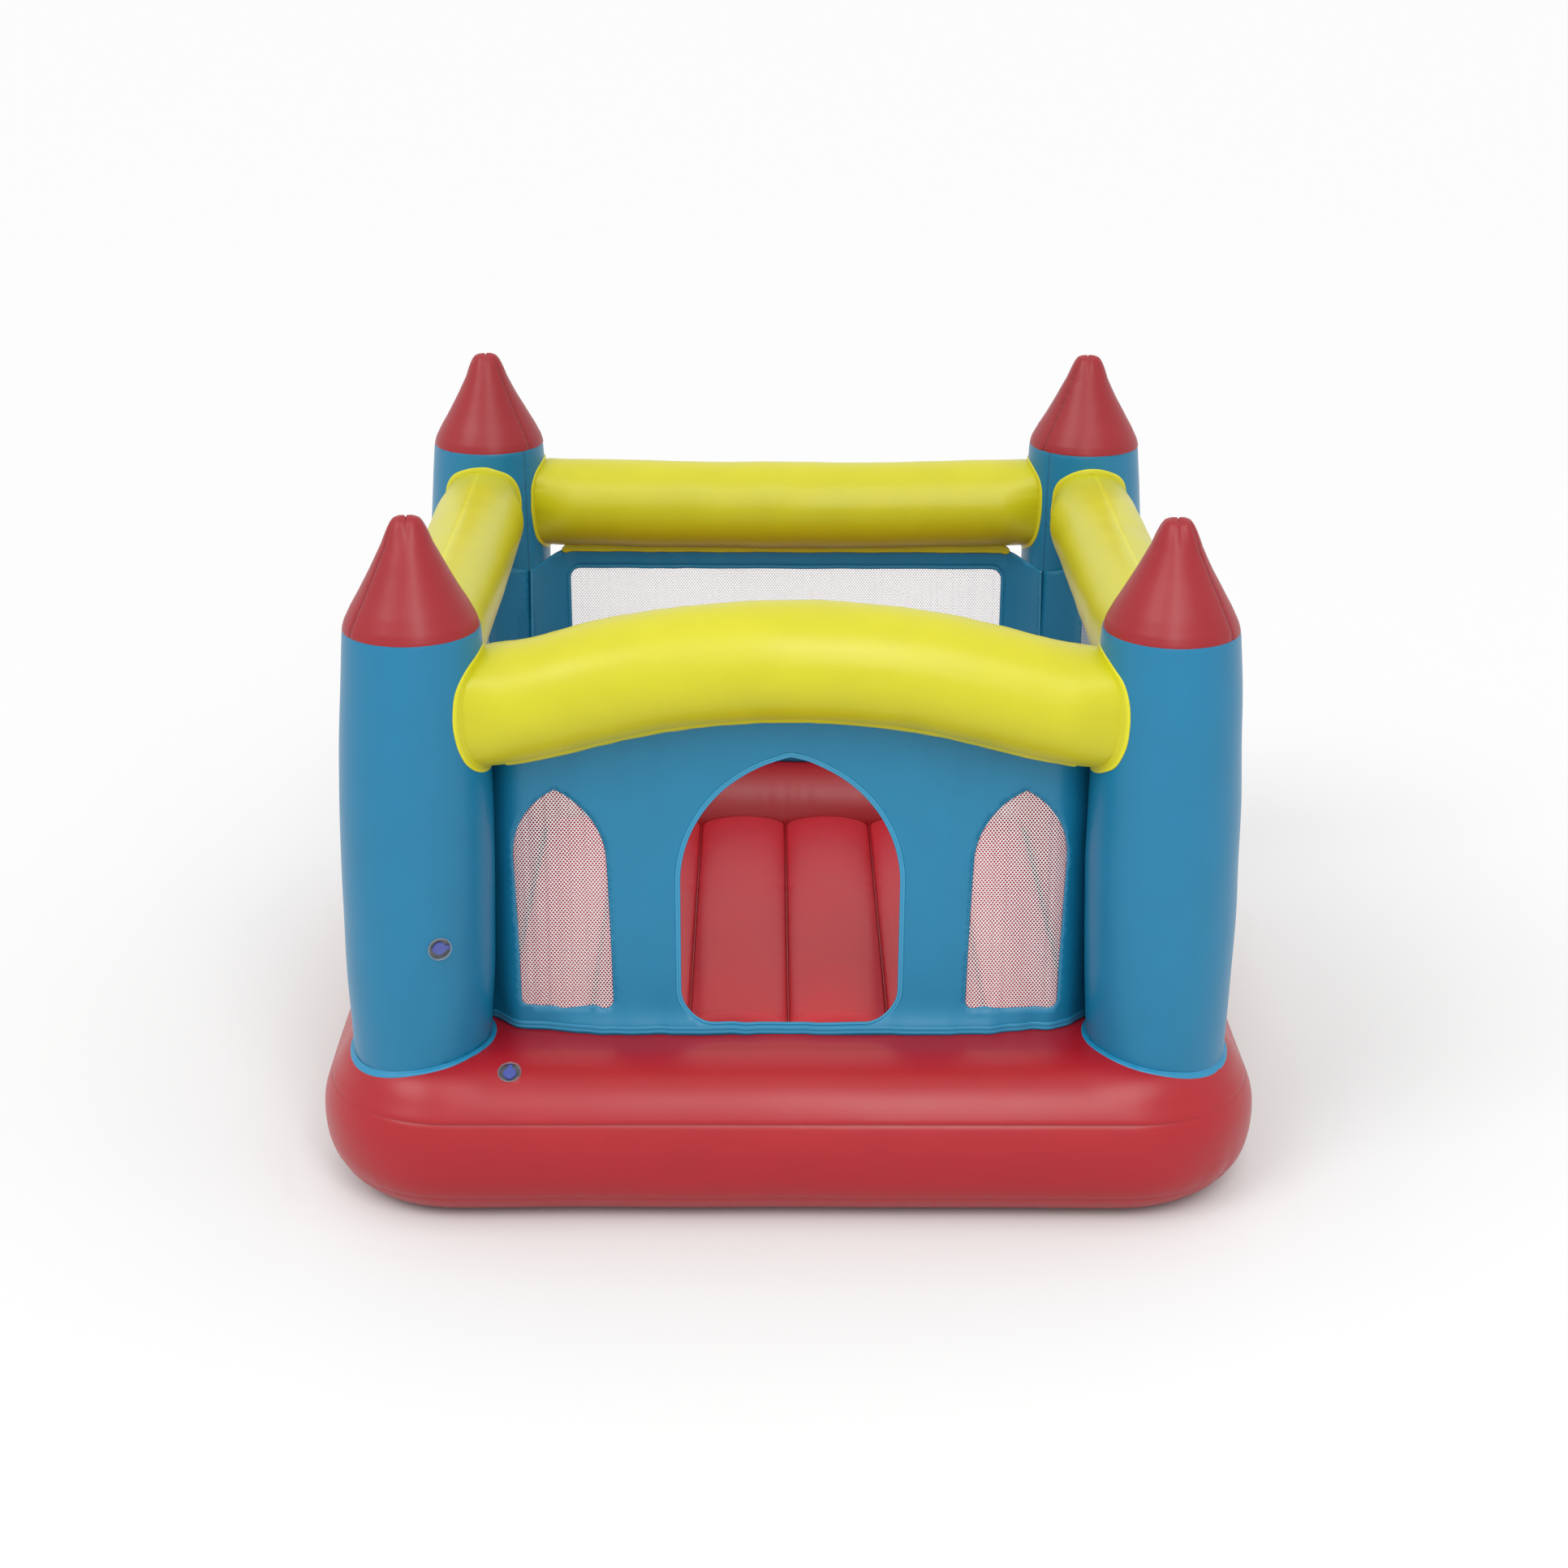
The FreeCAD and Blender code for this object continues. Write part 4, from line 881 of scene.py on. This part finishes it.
def makeCollars(wall, seed):
    # weld collars lying on the towers at a bar's two ends
    collar = Piece()
    crosswise = wall in ("front", "rear")
    angles = np.linspace(0, 2 * np.pi, 160, endpoint=False)
    _, _, out = barFrame(wall, np.zeros(1))
    for which in (0, 1):
        corner = barEnds[wall][which]
        edge = barSurface(wall, barEnd(wall, angles, which), angles)
        inward = np.zeros(3)
        inward[0 if crosswise else 1] = 1.0 if which == 0 else -1.0
        x, y = towerAxis(corner, edge[:, 2])
        R = towerRadius(edge[:, 2])
        lateral = (edge[:, 0] - x) * out[0] + (edge[:, 1] - y) * out[1]
        swing = np.arcsin(np.clip(lateral / R, -0.99, 0.99))
        extra = bars["archFlange"] - bars["flange"] if wall == "front" else 0
        wide = bars["flange"] + extra * np.abs(np.cos(angles)) ** 1.5
        wide = wide + collars["ripple"] * noiseLine(seed + 40 + which, angles / (2 * np.pi), 26)
        rows = []
        for share, lift, onTop in collars["section"]:
            level = edge[:, 2] + share * wide * np.sin(angles)
            turned = swing + share * wide * np.cos(angles) / R
            x, y = towerAxis(corner, level)
            reach = towerRadius(level) + (collars["top"][wall] * onTop + lift)
            p = np.stack([x, y, level], -1)
            p = p + (reach * np.cos(turned))[:, None] * inward + (reach * np.sin(turned))[:, None] * out
            rows.append(p)
        marks = np.repeat([collars["mark"]], len(angles), 0)
        collar.grid(np.stack(rows, 1), wrapU=True, mark=marks, flip=(which == 0) == crosswise)
    welds = collar.make(wall + "_bar_collars", yellowVinyl)
    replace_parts(welds, wall + "_bar_welds")


for wall in barEnds:
    makeBar(wall)
print("bars built")


# walls, their openings and trims

walls = {
    "setback": 0.015,
    "flat": 0.512,
    "stripDrop": 0.018,
    "film": 0.0007,
    "flare": 0.022,
    "stripSection": (
        (0.0100, -0.0030), (0.0095, -0.0062), (0.0040, -0.0074), (-0.0020, -0.0060),
        (-0.0075, -0.0072), (-0.0100, -0.0052), (-0.0095, -0.0026), (0.0020, -0.0020),
    ),
    "curl": 0.07,
    "doorHalf": 0.202,
    "doorSill": 0.322,
    "doorSpring": 0.600,
    "doorTop": 0.848,
    "doorCorner": 0.062,
    "windowAt": 0.415,
    "windowHalf": 0.086,
    "windowSill": 0.347,
    "windowSpring": 0.645,
    "windowTop": 0.784,
    "windowCorner": 0.014,
    "screenMargin": 0.182,
    "screenTop": 0.814,
    "screenSill": 0.400,
    "screenCorner": 0.026,
    "seamReach": 0.141,
    "ripple": 0.0030,
    "hang": 0.0022,
    "toes": 0.0024,
    "hemTape": (0.016, 0.0012, 2),
    "rimTape": (0.010, 0.0014, 2),
    "screenTape": (0.008, 0.0008),
    # how strongly the painted highlight shows at each point of a double tape's section, strongest on its raised
    # lines
    "tapeRidgeHighlight": (0, 0.2, 0.5, 0.8, 0.8, 0.2, 0, 0.2, 0.8, 0.8, 0.5, 0.2, 0, 0, 0),
    # the front strip lies on the bar: degrees round it and height over it
    "frontStrip": (
        (-58, -0.001), (-61, 0.0012), (-64, 0.0030), (-67, 0.0012), (-70, 0.0012), (-74, 0.0034),
        (-78, 0.0016), (-84, 0.0030), (-90, 0.0038), (-95, 0.0030), (-98, -0.001),
    ),
    # painted highlight along the raised lines of the front strip's and the other strips' sections
    "frontStripRidgeHighlight": (0, 0.2, 1, 0.1, 0.1, 1, 0.1, 0.3, 0.9, 0.4, 0),
    "stripRidgeHighlight": (0, 0.5, 0, 0.1, 0.8, 0.3, 0, 0),
    # widths of the strips as cut, and as hung
    "frontStripCut": (0.078, 0.074),
    "stripCut": (0.022, 0.0215),
}
seamOffset = walls["seamReach"] * math.sqrt(0.5)


def wallPlan(wall):
    # fine plan of a wall's film, ends bent back to the towers' inner seams: (along, across) and its length
    half, across = (tower["x"], tower["y"]) if wall in ("front", "rear") else (tower["y"], tower["x"])
    bendX, bendY = half - 0.165, across - walls["setback"]
    endX, endY = half - seamOffset - 0.0015, across - seamOffset + 0.0015
    path = np.array([(-endX, endY), (-bendX, bendY), (bendX, bendY), (endX, endY)])
    seg = np.linalg.norm(np.diff(path, axis=0), axis=1)
    at = np.concatenate([[0], np.cumsum(seg)])
    s = np.linspace(0, at[-1], 600)
    fine = np.stack([np.interp(s, at, path[:, 0]), np.interp(s, at, path[:, 1])], 1)
    reach = int(walls["curl"] / 2 / (at[-1] / 600))
    rounded = fine.copy()
    for k in range(600):
        w = min(reach, k, 599 - k)
        rounded[k] = fine[k - w:k + w + 1].mean(0)
    seg = np.linalg.norm(np.diff(rounded, axis=0), axis=1)
    s = np.concatenate([[0], np.cumsum(seg)])
    return s - s[-1] / 2, rounded


plans = {wall: wallPlan(wall) for wall in barEnds}


def wallPoint(wall, s, z, out=0.0):
    # a point of a wall's film; s runs along the film from the wall's middle
    at, plan = plans[wall]
    a, b = np.interp(s, at, plan[:, 0]), np.interp(s, at, plan[:, 1])
    step = 0.002
    da = np.interp(s + step, at, plan[:, 0]) - np.interp(s - step, at, plan[:, 0])
    db = np.interp(s + step, at, plan[:, 1]) - np.interp(s - step, at, plan[:, 1])
    size = np.maximum(np.hypot(da, db), 1e-9)
    a, b = a - db / size * out, b + da / size * out
    z = np.broadcast_to(z, np.shape(a)) + 0.0 * a
    if wall == "front":
        return np.stack([a, -b, z], -1)
    if wall == "rear":
        return np.stack([a, b, z], -1)
    side = -1 if wall == "left" else 1
    return np.stack([side * b, a, z], -1)


def wallTop(wall, s):
    if wall == "front":
        at, plan = plans[wall]
        x = np.interp(s, at, plan[:, 0])
        z, slope = archCentre(x)
        return z - (bars["archRadius"] - 0.001) * np.sqrt(1 + slope ** 2)
    low = bars["height"] - bars["radius"] - 0.006
    return low - 0.030 * np.clip((np.abs(s) - 0.49) / 0.11, 0, 1)


def wallFoot(wall, s):
    p = wallPoint(wall, s, 0.3)
    return ringTop(p[..., 0], p[..., 1])


def wave(wall, s, z):
    # slow ripples of the hanging film, outward
    seed = {"front": 400, "rear": 410, "left": 420, "right": 430}[wall]
    calm = np.clip((z - 0.30) / 0.05, 0, 1)
    place = s / 1.4 + 0.5
    ripple = walls["ripple"] * noiseField(seed, place, z / 1.2, 17, 4)
    hang = walls["hang"] * noiseLine(seed + 1, place, 44) * np.clip((z - 0.62) / 0.25, 0, 1)
    toes = walls["toes"] * noiseLine(seed + 2, place, 52) * np.exp(-((z - 0.31) / 0.05) ** 2)
    flare = 0.0
    if wall in ("front", "rear"):
        # the foot of the film spreads out to its weld
        middle = smooth(np.clip((0.47 - np.abs(s)) / 0.12, 0, 1))
        flare = walls["flare"] * np.exp(-((z - 0.298) / 0.030) ** 2) * middle
    return (ripple + hang) * calm + toes + flare


def pointedOutline(centre, half, sill, spring, top, corner, grow=0.0, step=0.006):
    # a doorway with a pointed arch and round lower corners, as points every few millimetres
    half, sill, top, corner = half + grow, sill - grow, top + grow, corner + grow
    rise = top - spring
    radius = (half * half + rise * rise) / (2 * half)
    swing = math.asin(min(rise / radius, 1))
    path = []

    def run(a, b):
        n = max(int(math.dist(a, b) / step), 1)
        for k in range(n):
            path.append((a[0] + (b[0] - a[0]) * k / n, a[1] + (b[1] - a[1]) * k / n))

    def bend(cx, cz, r, a0, a1):
        n = max(int(abs(a1 - a0) * r / step), 3)
        for k in range(n):
            angle = a0 + (a1 - a0) * k / n
            path.append((cx + r * math.cos(angle), cz + r * math.sin(angle)))

    run((centre - half + corner, sill), (centre + half - corner, sill))
    bend(centre + half - corner, sill + corner, corner, -math.pi / 2, 0)
    run((centre + half, sill + corner), (centre + half, spring))
    bend(centre + half - radius, spring, radius, 0, swing)
    bend(centre - half + radius, spring, radius, math.pi - swing, math.pi)
    run((centre - half, spring), (centre - half, sill + corner))
    bend(centre - half + corner, sill + corner, corner, math.pi, math.pi * 1.5)
    return np.array(path)


def screenOutline(wall, grow=0.0, step=0.008):
    half = (tower["x"] if wall == "rear" else tower["y"]) - walls["screenMargin"] + grow
    low, high, corner = walls["screenSill"] - grow, walls["screenTop"] + grow, walls["screenCorner"] + grow
    path = []
    for (x, z, a) in ((half, low, -90), (half, high, 0), (-half, high, 90), (-half, low, 180)):
        cx, cz = x - math.copysign(corner, x), z + (corner if z == low else -corner)
        for k in range(9):
            angle = math.radians(a + 90 * k / 8)
            path.append((cx + corner * math.cos(angle), cz + corner * math.sin(angle)))
    return resample(np.array(path), step)


def resample(path, step, closed=True):
    loop = np.vstack([path, path[:1]]) if closed else path
    seg = np.linalg.norm(np.diff(loop, axis=0), axis=1)
    at = np.concatenate([[0], np.cumsum(seg)])
    n = max(int(at[-1] / step), 4)
    s = np.linspace(0, at[-1], n, endpoint=not closed)
    return np.stack([np.interp(s, at, loop[:, k]) for k in range(loop.shape[1])], 1)


def inside(points, outline):
    x, y = points[:, 0], points[:, 1]
    found = np.zeros(len(points), bool)
    n = len(outline)
    for i in range(n):
        (x0, y0), (x1, y1) = outline[i], outline[(i + 1) % n]
        if y0 == y1:
            continue
        hit = ((y0 > y) != (y1 > y)) & (x < (x1 - x0) * (y - y0) / (y1 - y0) + x0)
        found ^= hit
    return found


def windowOutline(side, grow=0.0):
    centre = walls["windowAt"] * side
    outline = pointedOutline(
        centre, walls["windowHalf"], walls["windowSill"], walls["windowSpring"], walls["windowTop"],
        walls["windowCorner"], grow,
    )
    lean = 0.013 * side * np.clip((outline[:, 1] - walls["windowSill"]) / 0.44, 0, 1) ** 1.5
    outline[:, 0] += lean
    sagging = np.exp(-((outline[:, 1] - walls["windowSill"]) / 0.02) ** 2)
    outline[:, 1] += 0.0035 * sagging * noiseLine(77 + side, outline[:, 0] * 2 + 1, 26)
    return outline


def doorOutline(grow=0.0):
    return pointedOutline(
        0.0, walls["doorHalf"], walls["doorSill"], walls["doorSpring"], walls["doorTop"],
        walls["doorCorner"], grow,
    )


def wallHoles(wall):
    if wall == "front":
        return [doorOutline(), windowOutline(-1), windowOutline(1)]
    return [screenOutline(wall)]


def makePanel(wall):
    at, _ = plans[wall]
    reach = at[-1]
    s = np.linspace(-reach, reach, 160)
    top = np.stack([s, wallTop(wall, s)], 1)
    foot = np.stack([s, wallFoot(wall, s) - 0.002], 1)[::-1]
    border = resample(np.vstack([foot[::-1], top[::-1]]), 0.009)
    holes = wallHoles(wall)
    loops = [border] + holes
    cell = 0.0105
    gx, gz = np.meshgrid(np.arange(-reach, reach, cell), np.arange(0.26, 1.0, cell), indexing="ij")
    fill = np.stack([gx.ravel(), gz.ravel()], 1)
    fill[:, 0] += 0.003 * np.sin(fill[:, 1] * 900)
    keep = inside(fill, border)
    for hole in holes:
        keep &= ~inside(fill, hole)
    fill = fill[keep]
    rims = np.vstack(loops)
    near = np.array([np.min(np.abs(rims - p).max(1)) for p in fill])
    fill = fill[near > 0.0055]
    points = np.vstack(loops + [fill])
    edges, start = [], 0
    for loop in loops:
        n = len(loop)
        edges += [(start + k, start + (k + 1) % n) for k in range(n)]
        start += n
    made = delaunay_2d_cdt([Vector(p) for p in points], edges, [], 0, 1e-6)
    flat = np.array([tuple(p) for p in made[0]])
    faces = np.array([face for face in made[2]])
    middle = flat[faces].mean(1)
    good = inside(middle, border)
    for hole in holes:
        good &= ~inside(middle, hole)
    faces = faces[good]
    half = walls["film"] / 2
    sheet = Piece()
    lift = wave(wall, flat[:, 0], flat[:, 1])
    front = wallPoint(wall, flat[:, 0], flat[:, 1], lift + half)
    back = wallPoint(wall, flat[:, 0], flat[:, 1], lift - half)
    n = len(flat)
    ordered = faces if wall in ("front", "right") else faces[:, ::-1]
    skin = [tuple(face) for face in ordered] + [tuple(face[::-1] + n) for face in ordered]
    count = {}
    for face in ordered:
        for a, b in zip(face, np.roll(face, -1)):
            count[(a, b)] = count.get((a, b), 0) + 1
    for a, b in count:
        if (b, a) not in count:
            skin.append((b, a, a + n, b + n))
    sheet.add(np.vstack([front, back]), skin)
    panel = sheet.make(wall + "_wall_film", wallVinyl)
    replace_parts(panel, wall + "_wall_panel")


def wallLine(wall, path, out):
    # points and outward directions for a ribbon on a wall
    path = np.asarray(path, float)
    lift = wave(wall, path[:, 0], path[:, 1])
    p = wallPoint(wall, path[:, 0], path[:, 1], lift + out)
    q = wallPoint(wall, path[:, 0], path[:, 1], lift + out + 0.01)
    return p, q - p


def stitches(name, path, pitch, size):
    # a row of short thread stitches along a line, made by a node tree and kept as plain mesh
    tree = bpy.data.node_groups.new(name + "_tree", "GeometryNodeTree")
    tree.interface.new_socket("Geometry", in_out="OUTPUT", socket_type="NodeSocketGeometry")
    tree.interface.new_socket("Geometry", in_out="INPUT", socket_type="NodeSocketGeometry")
    for label, value in (("Pitch", pitch), ("Length", size[0]), ("Thickness", size[1])):
        socket = tree.interface.new_socket(label, in_out="INPUT", socket_type="NodeSocketFloat")
        socket.default_value = value
    source = node(tree, "NodeGroupInput")
    curve = node(tree, "GeometryNodeMeshToCurve", Mesh=source.outputs["Geometry"])
    even = node(
        tree, "GeometryNodeCurveToPoints", {"mode": "LENGTH"},
        Curve=curve.outputs[0], Length=source.outputs["Pitch"],
    )
    thread = node(tree, "GeometryNodeMeshUVSphere", Segments=6, Rings=4, Radius=0.5)
    thin, long = source.outputs["Thickness"], source.outputs["Length"]
    size = node(tree, "ShaderNodeCombineXYZ", X=thin, Y=long, Z=thin)
    shaped = node(tree, "GeometryNodeTransform", Geometry=thread.outputs[0], Scale=size.outputs[0])
    placed = node(
        tree, "GeometryNodeInstanceOnPoints",
        Points=even.outputs["Points"], Instance=shaped.outputs[0], Rotation=even.outputs["Rotation"],
    )
    real = node(tree, "GeometryNodeRealizeInstances", Geometry=placed.outputs[0])
    shade = node(tree, "GeometryNodeSetMaterial", Geometry=real.outputs[0], Material=threadBlue)
    sink = node(tree, "NodeGroupOutput")
    tree.links.new(shade.outputs[0], sink.inputs[0])
    mesh = bpy.data.meshes.new(name + "_line")
    n = len(path)
    mesh.from_pydata([tuple(p) for p in path], [(k, (k + 1) % n) for k in range(n)], [])
    line = bpy.data.objects.new(name + "_line", mesh)
    bpy.context.scene.collection.objects.link(line)
    modifier = line.modifiers.new("stitches", "NODES")
    modifier.node_group = tree
    graph = bpy.context.evaluated_depsgraph_get()
    done = bpy.data.meshes.new_from_object(line.evaluated_get(graph), depsgraph=graph)
    bpy.data.objects.remove(line)
    piece = bpy.data.objects.new(name, done)
    done.polygons.foreach_set("use_smooth", [True] * len(done.polygons))
    bpy.context.scene.collection.objects.link(piece)
    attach(piece, root)


net = {
    "across": 0.0062,
    "rowGap": 0.0041,
    "hole": 0.0023,
    "ripple": 0.0016,
    # area of a six-sided hole as a share of the circle through its corners
    "sixSided": 0.83,
}


def makeNet(name, wall, outline, standsFor, out):
    # netting with staggered round holes, cut a little inside its border tape
    low, high = outline.min(0), outline.max(0)
    rows = int((high[1] - low[1]) / net["rowGap"]) + 1
    columns = int((high[0] - low[0]) / net["across"]) + 2
    i, j = np.meshgrid(np.arange(columns), np.arange(rows), indexing="ij")
    cx = low[0] + (i + 0.5 * (j % 2)) * net["across"]
    cz = low[1] + j * net["rowGap"]
    centres = np.stack([cx.ravel(), cz.ravel()], 1)
    centres = centres[inside(centres, outline)]
    half, low3, high3 = net["across"] / 2, net["rowGap"] / 3, net["rowGap"] * 2 / 3
    cell = np.array([(half, -low3), (half, low3), (0, high3), (-half, low3), (-half, -low3), (0, -high3)])
    angle = np.arctan2(cell[:, 1], cell[:, 0])
    hole = net["hole"] * np.stack([np.cos(angle), np.sin(angle)], 1)
    cellCorners = (centres[:, None] + cell[None]).reshape(-1, 2)
    key = np.round(cellCorners / 1e-5).astype(np.int64)
    _, first, back = np.unique(key, axis=0, return_index=True, return_inverse=True)
    back = back.reshape(-1, 6)
    shared = cellCorners[first]
    holes = (centres[:, None] + hole[None]).reshape(-1, 2)
    flat = np.vstack([shared, holes])
    m = len(shared)
    own = m + np.arange(len(holes)).reshape(-1, 6)
    k = np.arange(6)
    after = (k + 1) % 6
    quads = np.stack([back[:, k], back[:, after], own[:, after], own[:, k]], -1).reshape(-1, 4)
    lift = wave(wall, flat[:, 0], flat[:, 1]) + net["ripple"] * noiseLine(len(name), flat[:, 0] * 2 + 1, 70)
    points = wallPoint(wall, flat[:, 0], flat[:, 1], lift + out)
    piece = Piece()
    if wall in ("rear", "left"):
        quads = quads[:, ::-1]
    piece.add(points, quads)
    sheet = piece.make(name, netWhite)
    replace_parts(sheet, standsFor)


def makeStrip(wall):
    # the film strip between a bar and its wall
    strip = Piece()
    seed = 500 + list(barEnds).index(wall) * 10
    u = np.linspace(-walls["flat"] + 0.002, walls["flat"] - 0.002, 200)
    top = wallTop(wall, u)
    rippled = 0.0012 * noiseLine(seed + 2, u + 0.6, 60)
    rows = []
    if wall == "front":
        # a double flange lying on the lower front of the bar, its foot on the wall
        for angle, off in walls["frontStrip"]:
            turn = np.full_like(u, math.radians(angle))
            rows.append(barSurface("front", u * 1.02, turn, off + rippled * 0.4 * (off > 0.0025)))
        strip.grid(np.stack(rows, 1), mark=np.repeat([walls["frontStripRidgeHighlight"]], len(u), 0))
    else:
        ends = np.clip((walls["flat"] - np.abs(u)) / 0.012, 0, 1) ** 0.5
        for rise, out in walls["stripSection"]:
            level = top + 0.002 + (rise - 0.002) * ends
            rows.append(wallPoint(wall, u, level, wave(wall, u, top) + out + rippled))
        marks = np.repeat([walls["stripRidgeHighlight"]], len(u), 0)
        strip.grid(np.stack(rows, 1), wrapV=True, mark=marks, flip=wall in ("rear", "left"))
    hung = strip.make(wall + "_hanging_strip_film", yellowVinyl)
    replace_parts(hung, wall + "_hanging_strip")


def makeDoubleTape(name, wall, path, lift, section, standsFor, closed):
    piece = Piece()
    p, q = wallLine(wall, path, lift)
    ribbon(piece, p, q, tape(*section), closed=closed, mark=walls["tapeRidgeHighlight"])
    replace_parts(piece.make(name, tapeBlue), standsFor)


def makeTrim(wall):
    # hem, strip, borders and rims of one wall
    reach = plans[wall][0][-1]
    s = np.linspace(-reach, reach, 260)
    line = np.stack([s, wallFoot(wall, s) + 0.009], 1)
    makeDoubleTape(wall + "_hem_film", wall, line, 0.0008, walls["hemTape"], wall + "_hem", False)
    makeStrip(wall)
    if wall == "front":
        line = resample(doorOutline(0.0045), 0.005)
        makeDoubleTape("door_rim_film", wall, line, 0.0006, walls["rimTape"], "door_rim", True)
        for side, label in ((-1, "left"), (1, "right")):
            window = f"front_{label}_window"
            p, _ = wallLine(wall, resample(windowOutline(side, 0.003), 0.004), 0.0012)
            stitches(window + "_stitches", p, 0.0040, (0.0028, 0.0012))
            makeNet(window + "_net", wall, windowOutline(side, 0.002), window + "_mesh", -0.0016)
        return
    for out, label in ((-0.0010, "inner"), (0.0012, "outer")):
        border = Piece()
        p, q = wallLine(wall, resample(screenOutline(wall), 0.006), out)
        ribbon(border, p, q if out > 0 else -q, tape(*walls["screenTape"]), closed=True)
        border.make(f"{wall}_window_{label}_tape", wallVinyl)
    p, _ = wallLine(wall, resample(screenOutline(wall), 0.005), -0.0022)
    stitches(wall + "_window_stitches", p, 0.0044, (0.0030, 0.0014))
    makeNet(wall + "_window_net", wall, screenOutline(wall, 0.002), wall + "_window_mesh", 0.0014)


fins = {
    "foot": 0.290,
    "reach": 0.1455,
    "sunk": 0.003,
    "ripple": 0.0012,
    # share of the reach, and half thickness
    "section": ((0, 0.0016), (0.4, 0.0013), (1, 0.0011), (1, -0.0011), (0.4, -0.0013), (0, -0.0016)),
}


def makeSeamFin(name):
    # the upright weld that joins two walls to the inner side of a tower
    sx, sy = corners[name]
    angle = math.atan2(-sy, -sx)
    high = bars["height"] - bars["radius"] - walls["stripDrop"] - 0.022
    z = fins["foot"] + (high - fins["foot"]) * np.linspace(0, 1, 70)
    ripple = fins["ripple"] * noiseLine(900 + list(corners).index(name), z, 60)
    inner = towerRadius(z)
    x, y = towerAxis(name, z)
    ca, sa = math.cos(angle), math.sin(angle)
    rows = []
    for share, half in fins["section"]:
        r = inner + (fins["reach"] - inner) * share if share > 0 else inner - fins["sunk"]
        aside = half + ripple * (share > 0.5)
        rows.append(np.stack([x + r * ca - aside * sa, y + r * sa + aside * ca, z], -1))
    fin = Piece()
    # painted highlight along the fin's outer edge, in the tape's lighter tone
    fin.grid(np.stack(rows, 1), wrapV=True, mark=np.repeat([[0, 0, 1, 1, 0, 0]], len(z), 0))
    made = fin.make(name + "_wall_seam_film", tapeBlue)
    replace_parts(made, name + "_wall_seam")


for wall in barEnds:
    makePanel(wall)
    makeTrim(wall)
for name in corners:
    makeSeamFin(name)
print("walls built")


# valves and the inner webs keep their own shapes

def wear(nodeName, material):
    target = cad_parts[nodeName]
    target.data.materials.clear()
    target.data.materials.append(material)


for valve in ("base_valve", "tower_valve"):
    wear(valve + "_seat", clearVinyl)
    for label in ("stem", "cap", "flap"):
        wear(f"{valve}_{label}", valveVinyl)
wear("floor_webs", redVinyl)
print("valves ready")


# floor, light and camera

studio = {
    "floor": "#DADADA",
    "horizon": 0.90,
    "zenith": 1.16,
    # heading and height, spread, power
    "key": ((-50, 45), 28, 0.80),
    "second": ((16, 52), 30, 0.55),
    "box": 30.0,
    "boxDirection": (8, 34),
    "boxAway": 4.5,
    "boxSize": (0.8, 2.4),
    "aimHeight": 0.5,
    "lens": 57.72,
    "cameraAt": (-0.0447, -4.8615, 2.478),
    "cameraTurn": (21.7483, -0.4416, 0.2873),
}


def hangLight(light, direction, power, away=0.0):
    # turns a light towards the object; direction is heading and height in degrees
    light.energy = power
    holder = bpy.data.objects.new(light.name, light)
    a, b = (math.radians(v) for v in direction)
    side = Vector((math.sin(a) * math.cos(b), -math.cos(a) * math.cos(b), math.sin(b)))
    holder.rotation_euler = side.to_track_quat("Z", "Y").to_euler()
    holder.location = side * away + Vector((0, 0, studio["aimHeight"]))
    bpy.context.scene.collection.objects.link(holder)


def makeLights():
    # two broad soft lights from far away, and a tall box nearer by for the sheen down the towers
    for name in ("key", "second"):
        light = bpy.data.lights.new(name, "SUN")
        direction, spread, power = studio[name]
        light.angle = math.radians(spread)
        hangLight(light, direction, power)
    light = bpy.data.lights.new("front box", "AREA")
    light.shape = "RECTANGLE"
    light.size, light.size_y = studio["boxSize"]
    hangLight(light, studio["boxDirection"], studio["box"], studio["boxAway"])


def makeStage():
    mesh = bpy.data.meshes.new("ground")
    mesh.from_pydata([(-60, -60, 0), (60, -60, 0), (60, 60, 0), (-60, 60, 0)], [], [(0, 1, 2, 3)])
    ground = bpy.data.objects.new("ground", mesh)
    bpy.context.scene.collection.objects.link(ground)
    material, _, shader = newMaterial("pale studio floor")
    shader.inputs["Base Color"].default_value = linear(studio["floor"])
    shader.inputs["Roughness"].default_value = 0.9
    shader.inputs["Specular IOR Level"].default_value = 0.1
    mesh.materials.append(material)
    world = bpy.data.worlds.new("studio")
    world.use_nodes = True
    sky = world.node_tree
    up = node(sky, "ShaderNodeSeparateXYZ", Vector=node(sky, "ShaderNodeTexCoord").outputs["Generated"])
    level = node(
        sky, "ShaderNodeMapRange",
        Value=up.outputs[2], To_Min=studio["horizon"], To_Max=studio["zenith"],
    )
    sky.nodes["Background"].inputs[0].default_value = (1, 1, 1, 1)
    sky.links.new(level.outputs[0], sky.nodes["Background"].inputs[1])
    bpy.context.scene.world = world
    makeLights()
    bpy.context.scene.view_settings.view_transform = "Standard"
    camera = bpy.data.cameras.new("camera")
    camera.lens = studio["lens"]
    camera.sensor_width = 36.0
    holder = bpy.data.objects.new("camera", camera)
    pitch, yaw, roll = (math.radians(v) for v in studio["cameraTurn"])
    forward = Vector((-math.sin(yaw) * math.cos(pitch), math.cos(yaw) * math.cos(pitch), -math.sin(pitch)))
    turn = forward.to_track_quat("-Z", "Y").to_matrix().to_4x4()
    holder.matrix_world = Matrix.Translation(studio["cameraAt"]) @ turn @ Matrix.Rotation(roll, 4, "Z")
    bpy.context.scene.collection.objects.link(holder)
    bpy.context.scene.camera = holder


makeStage()
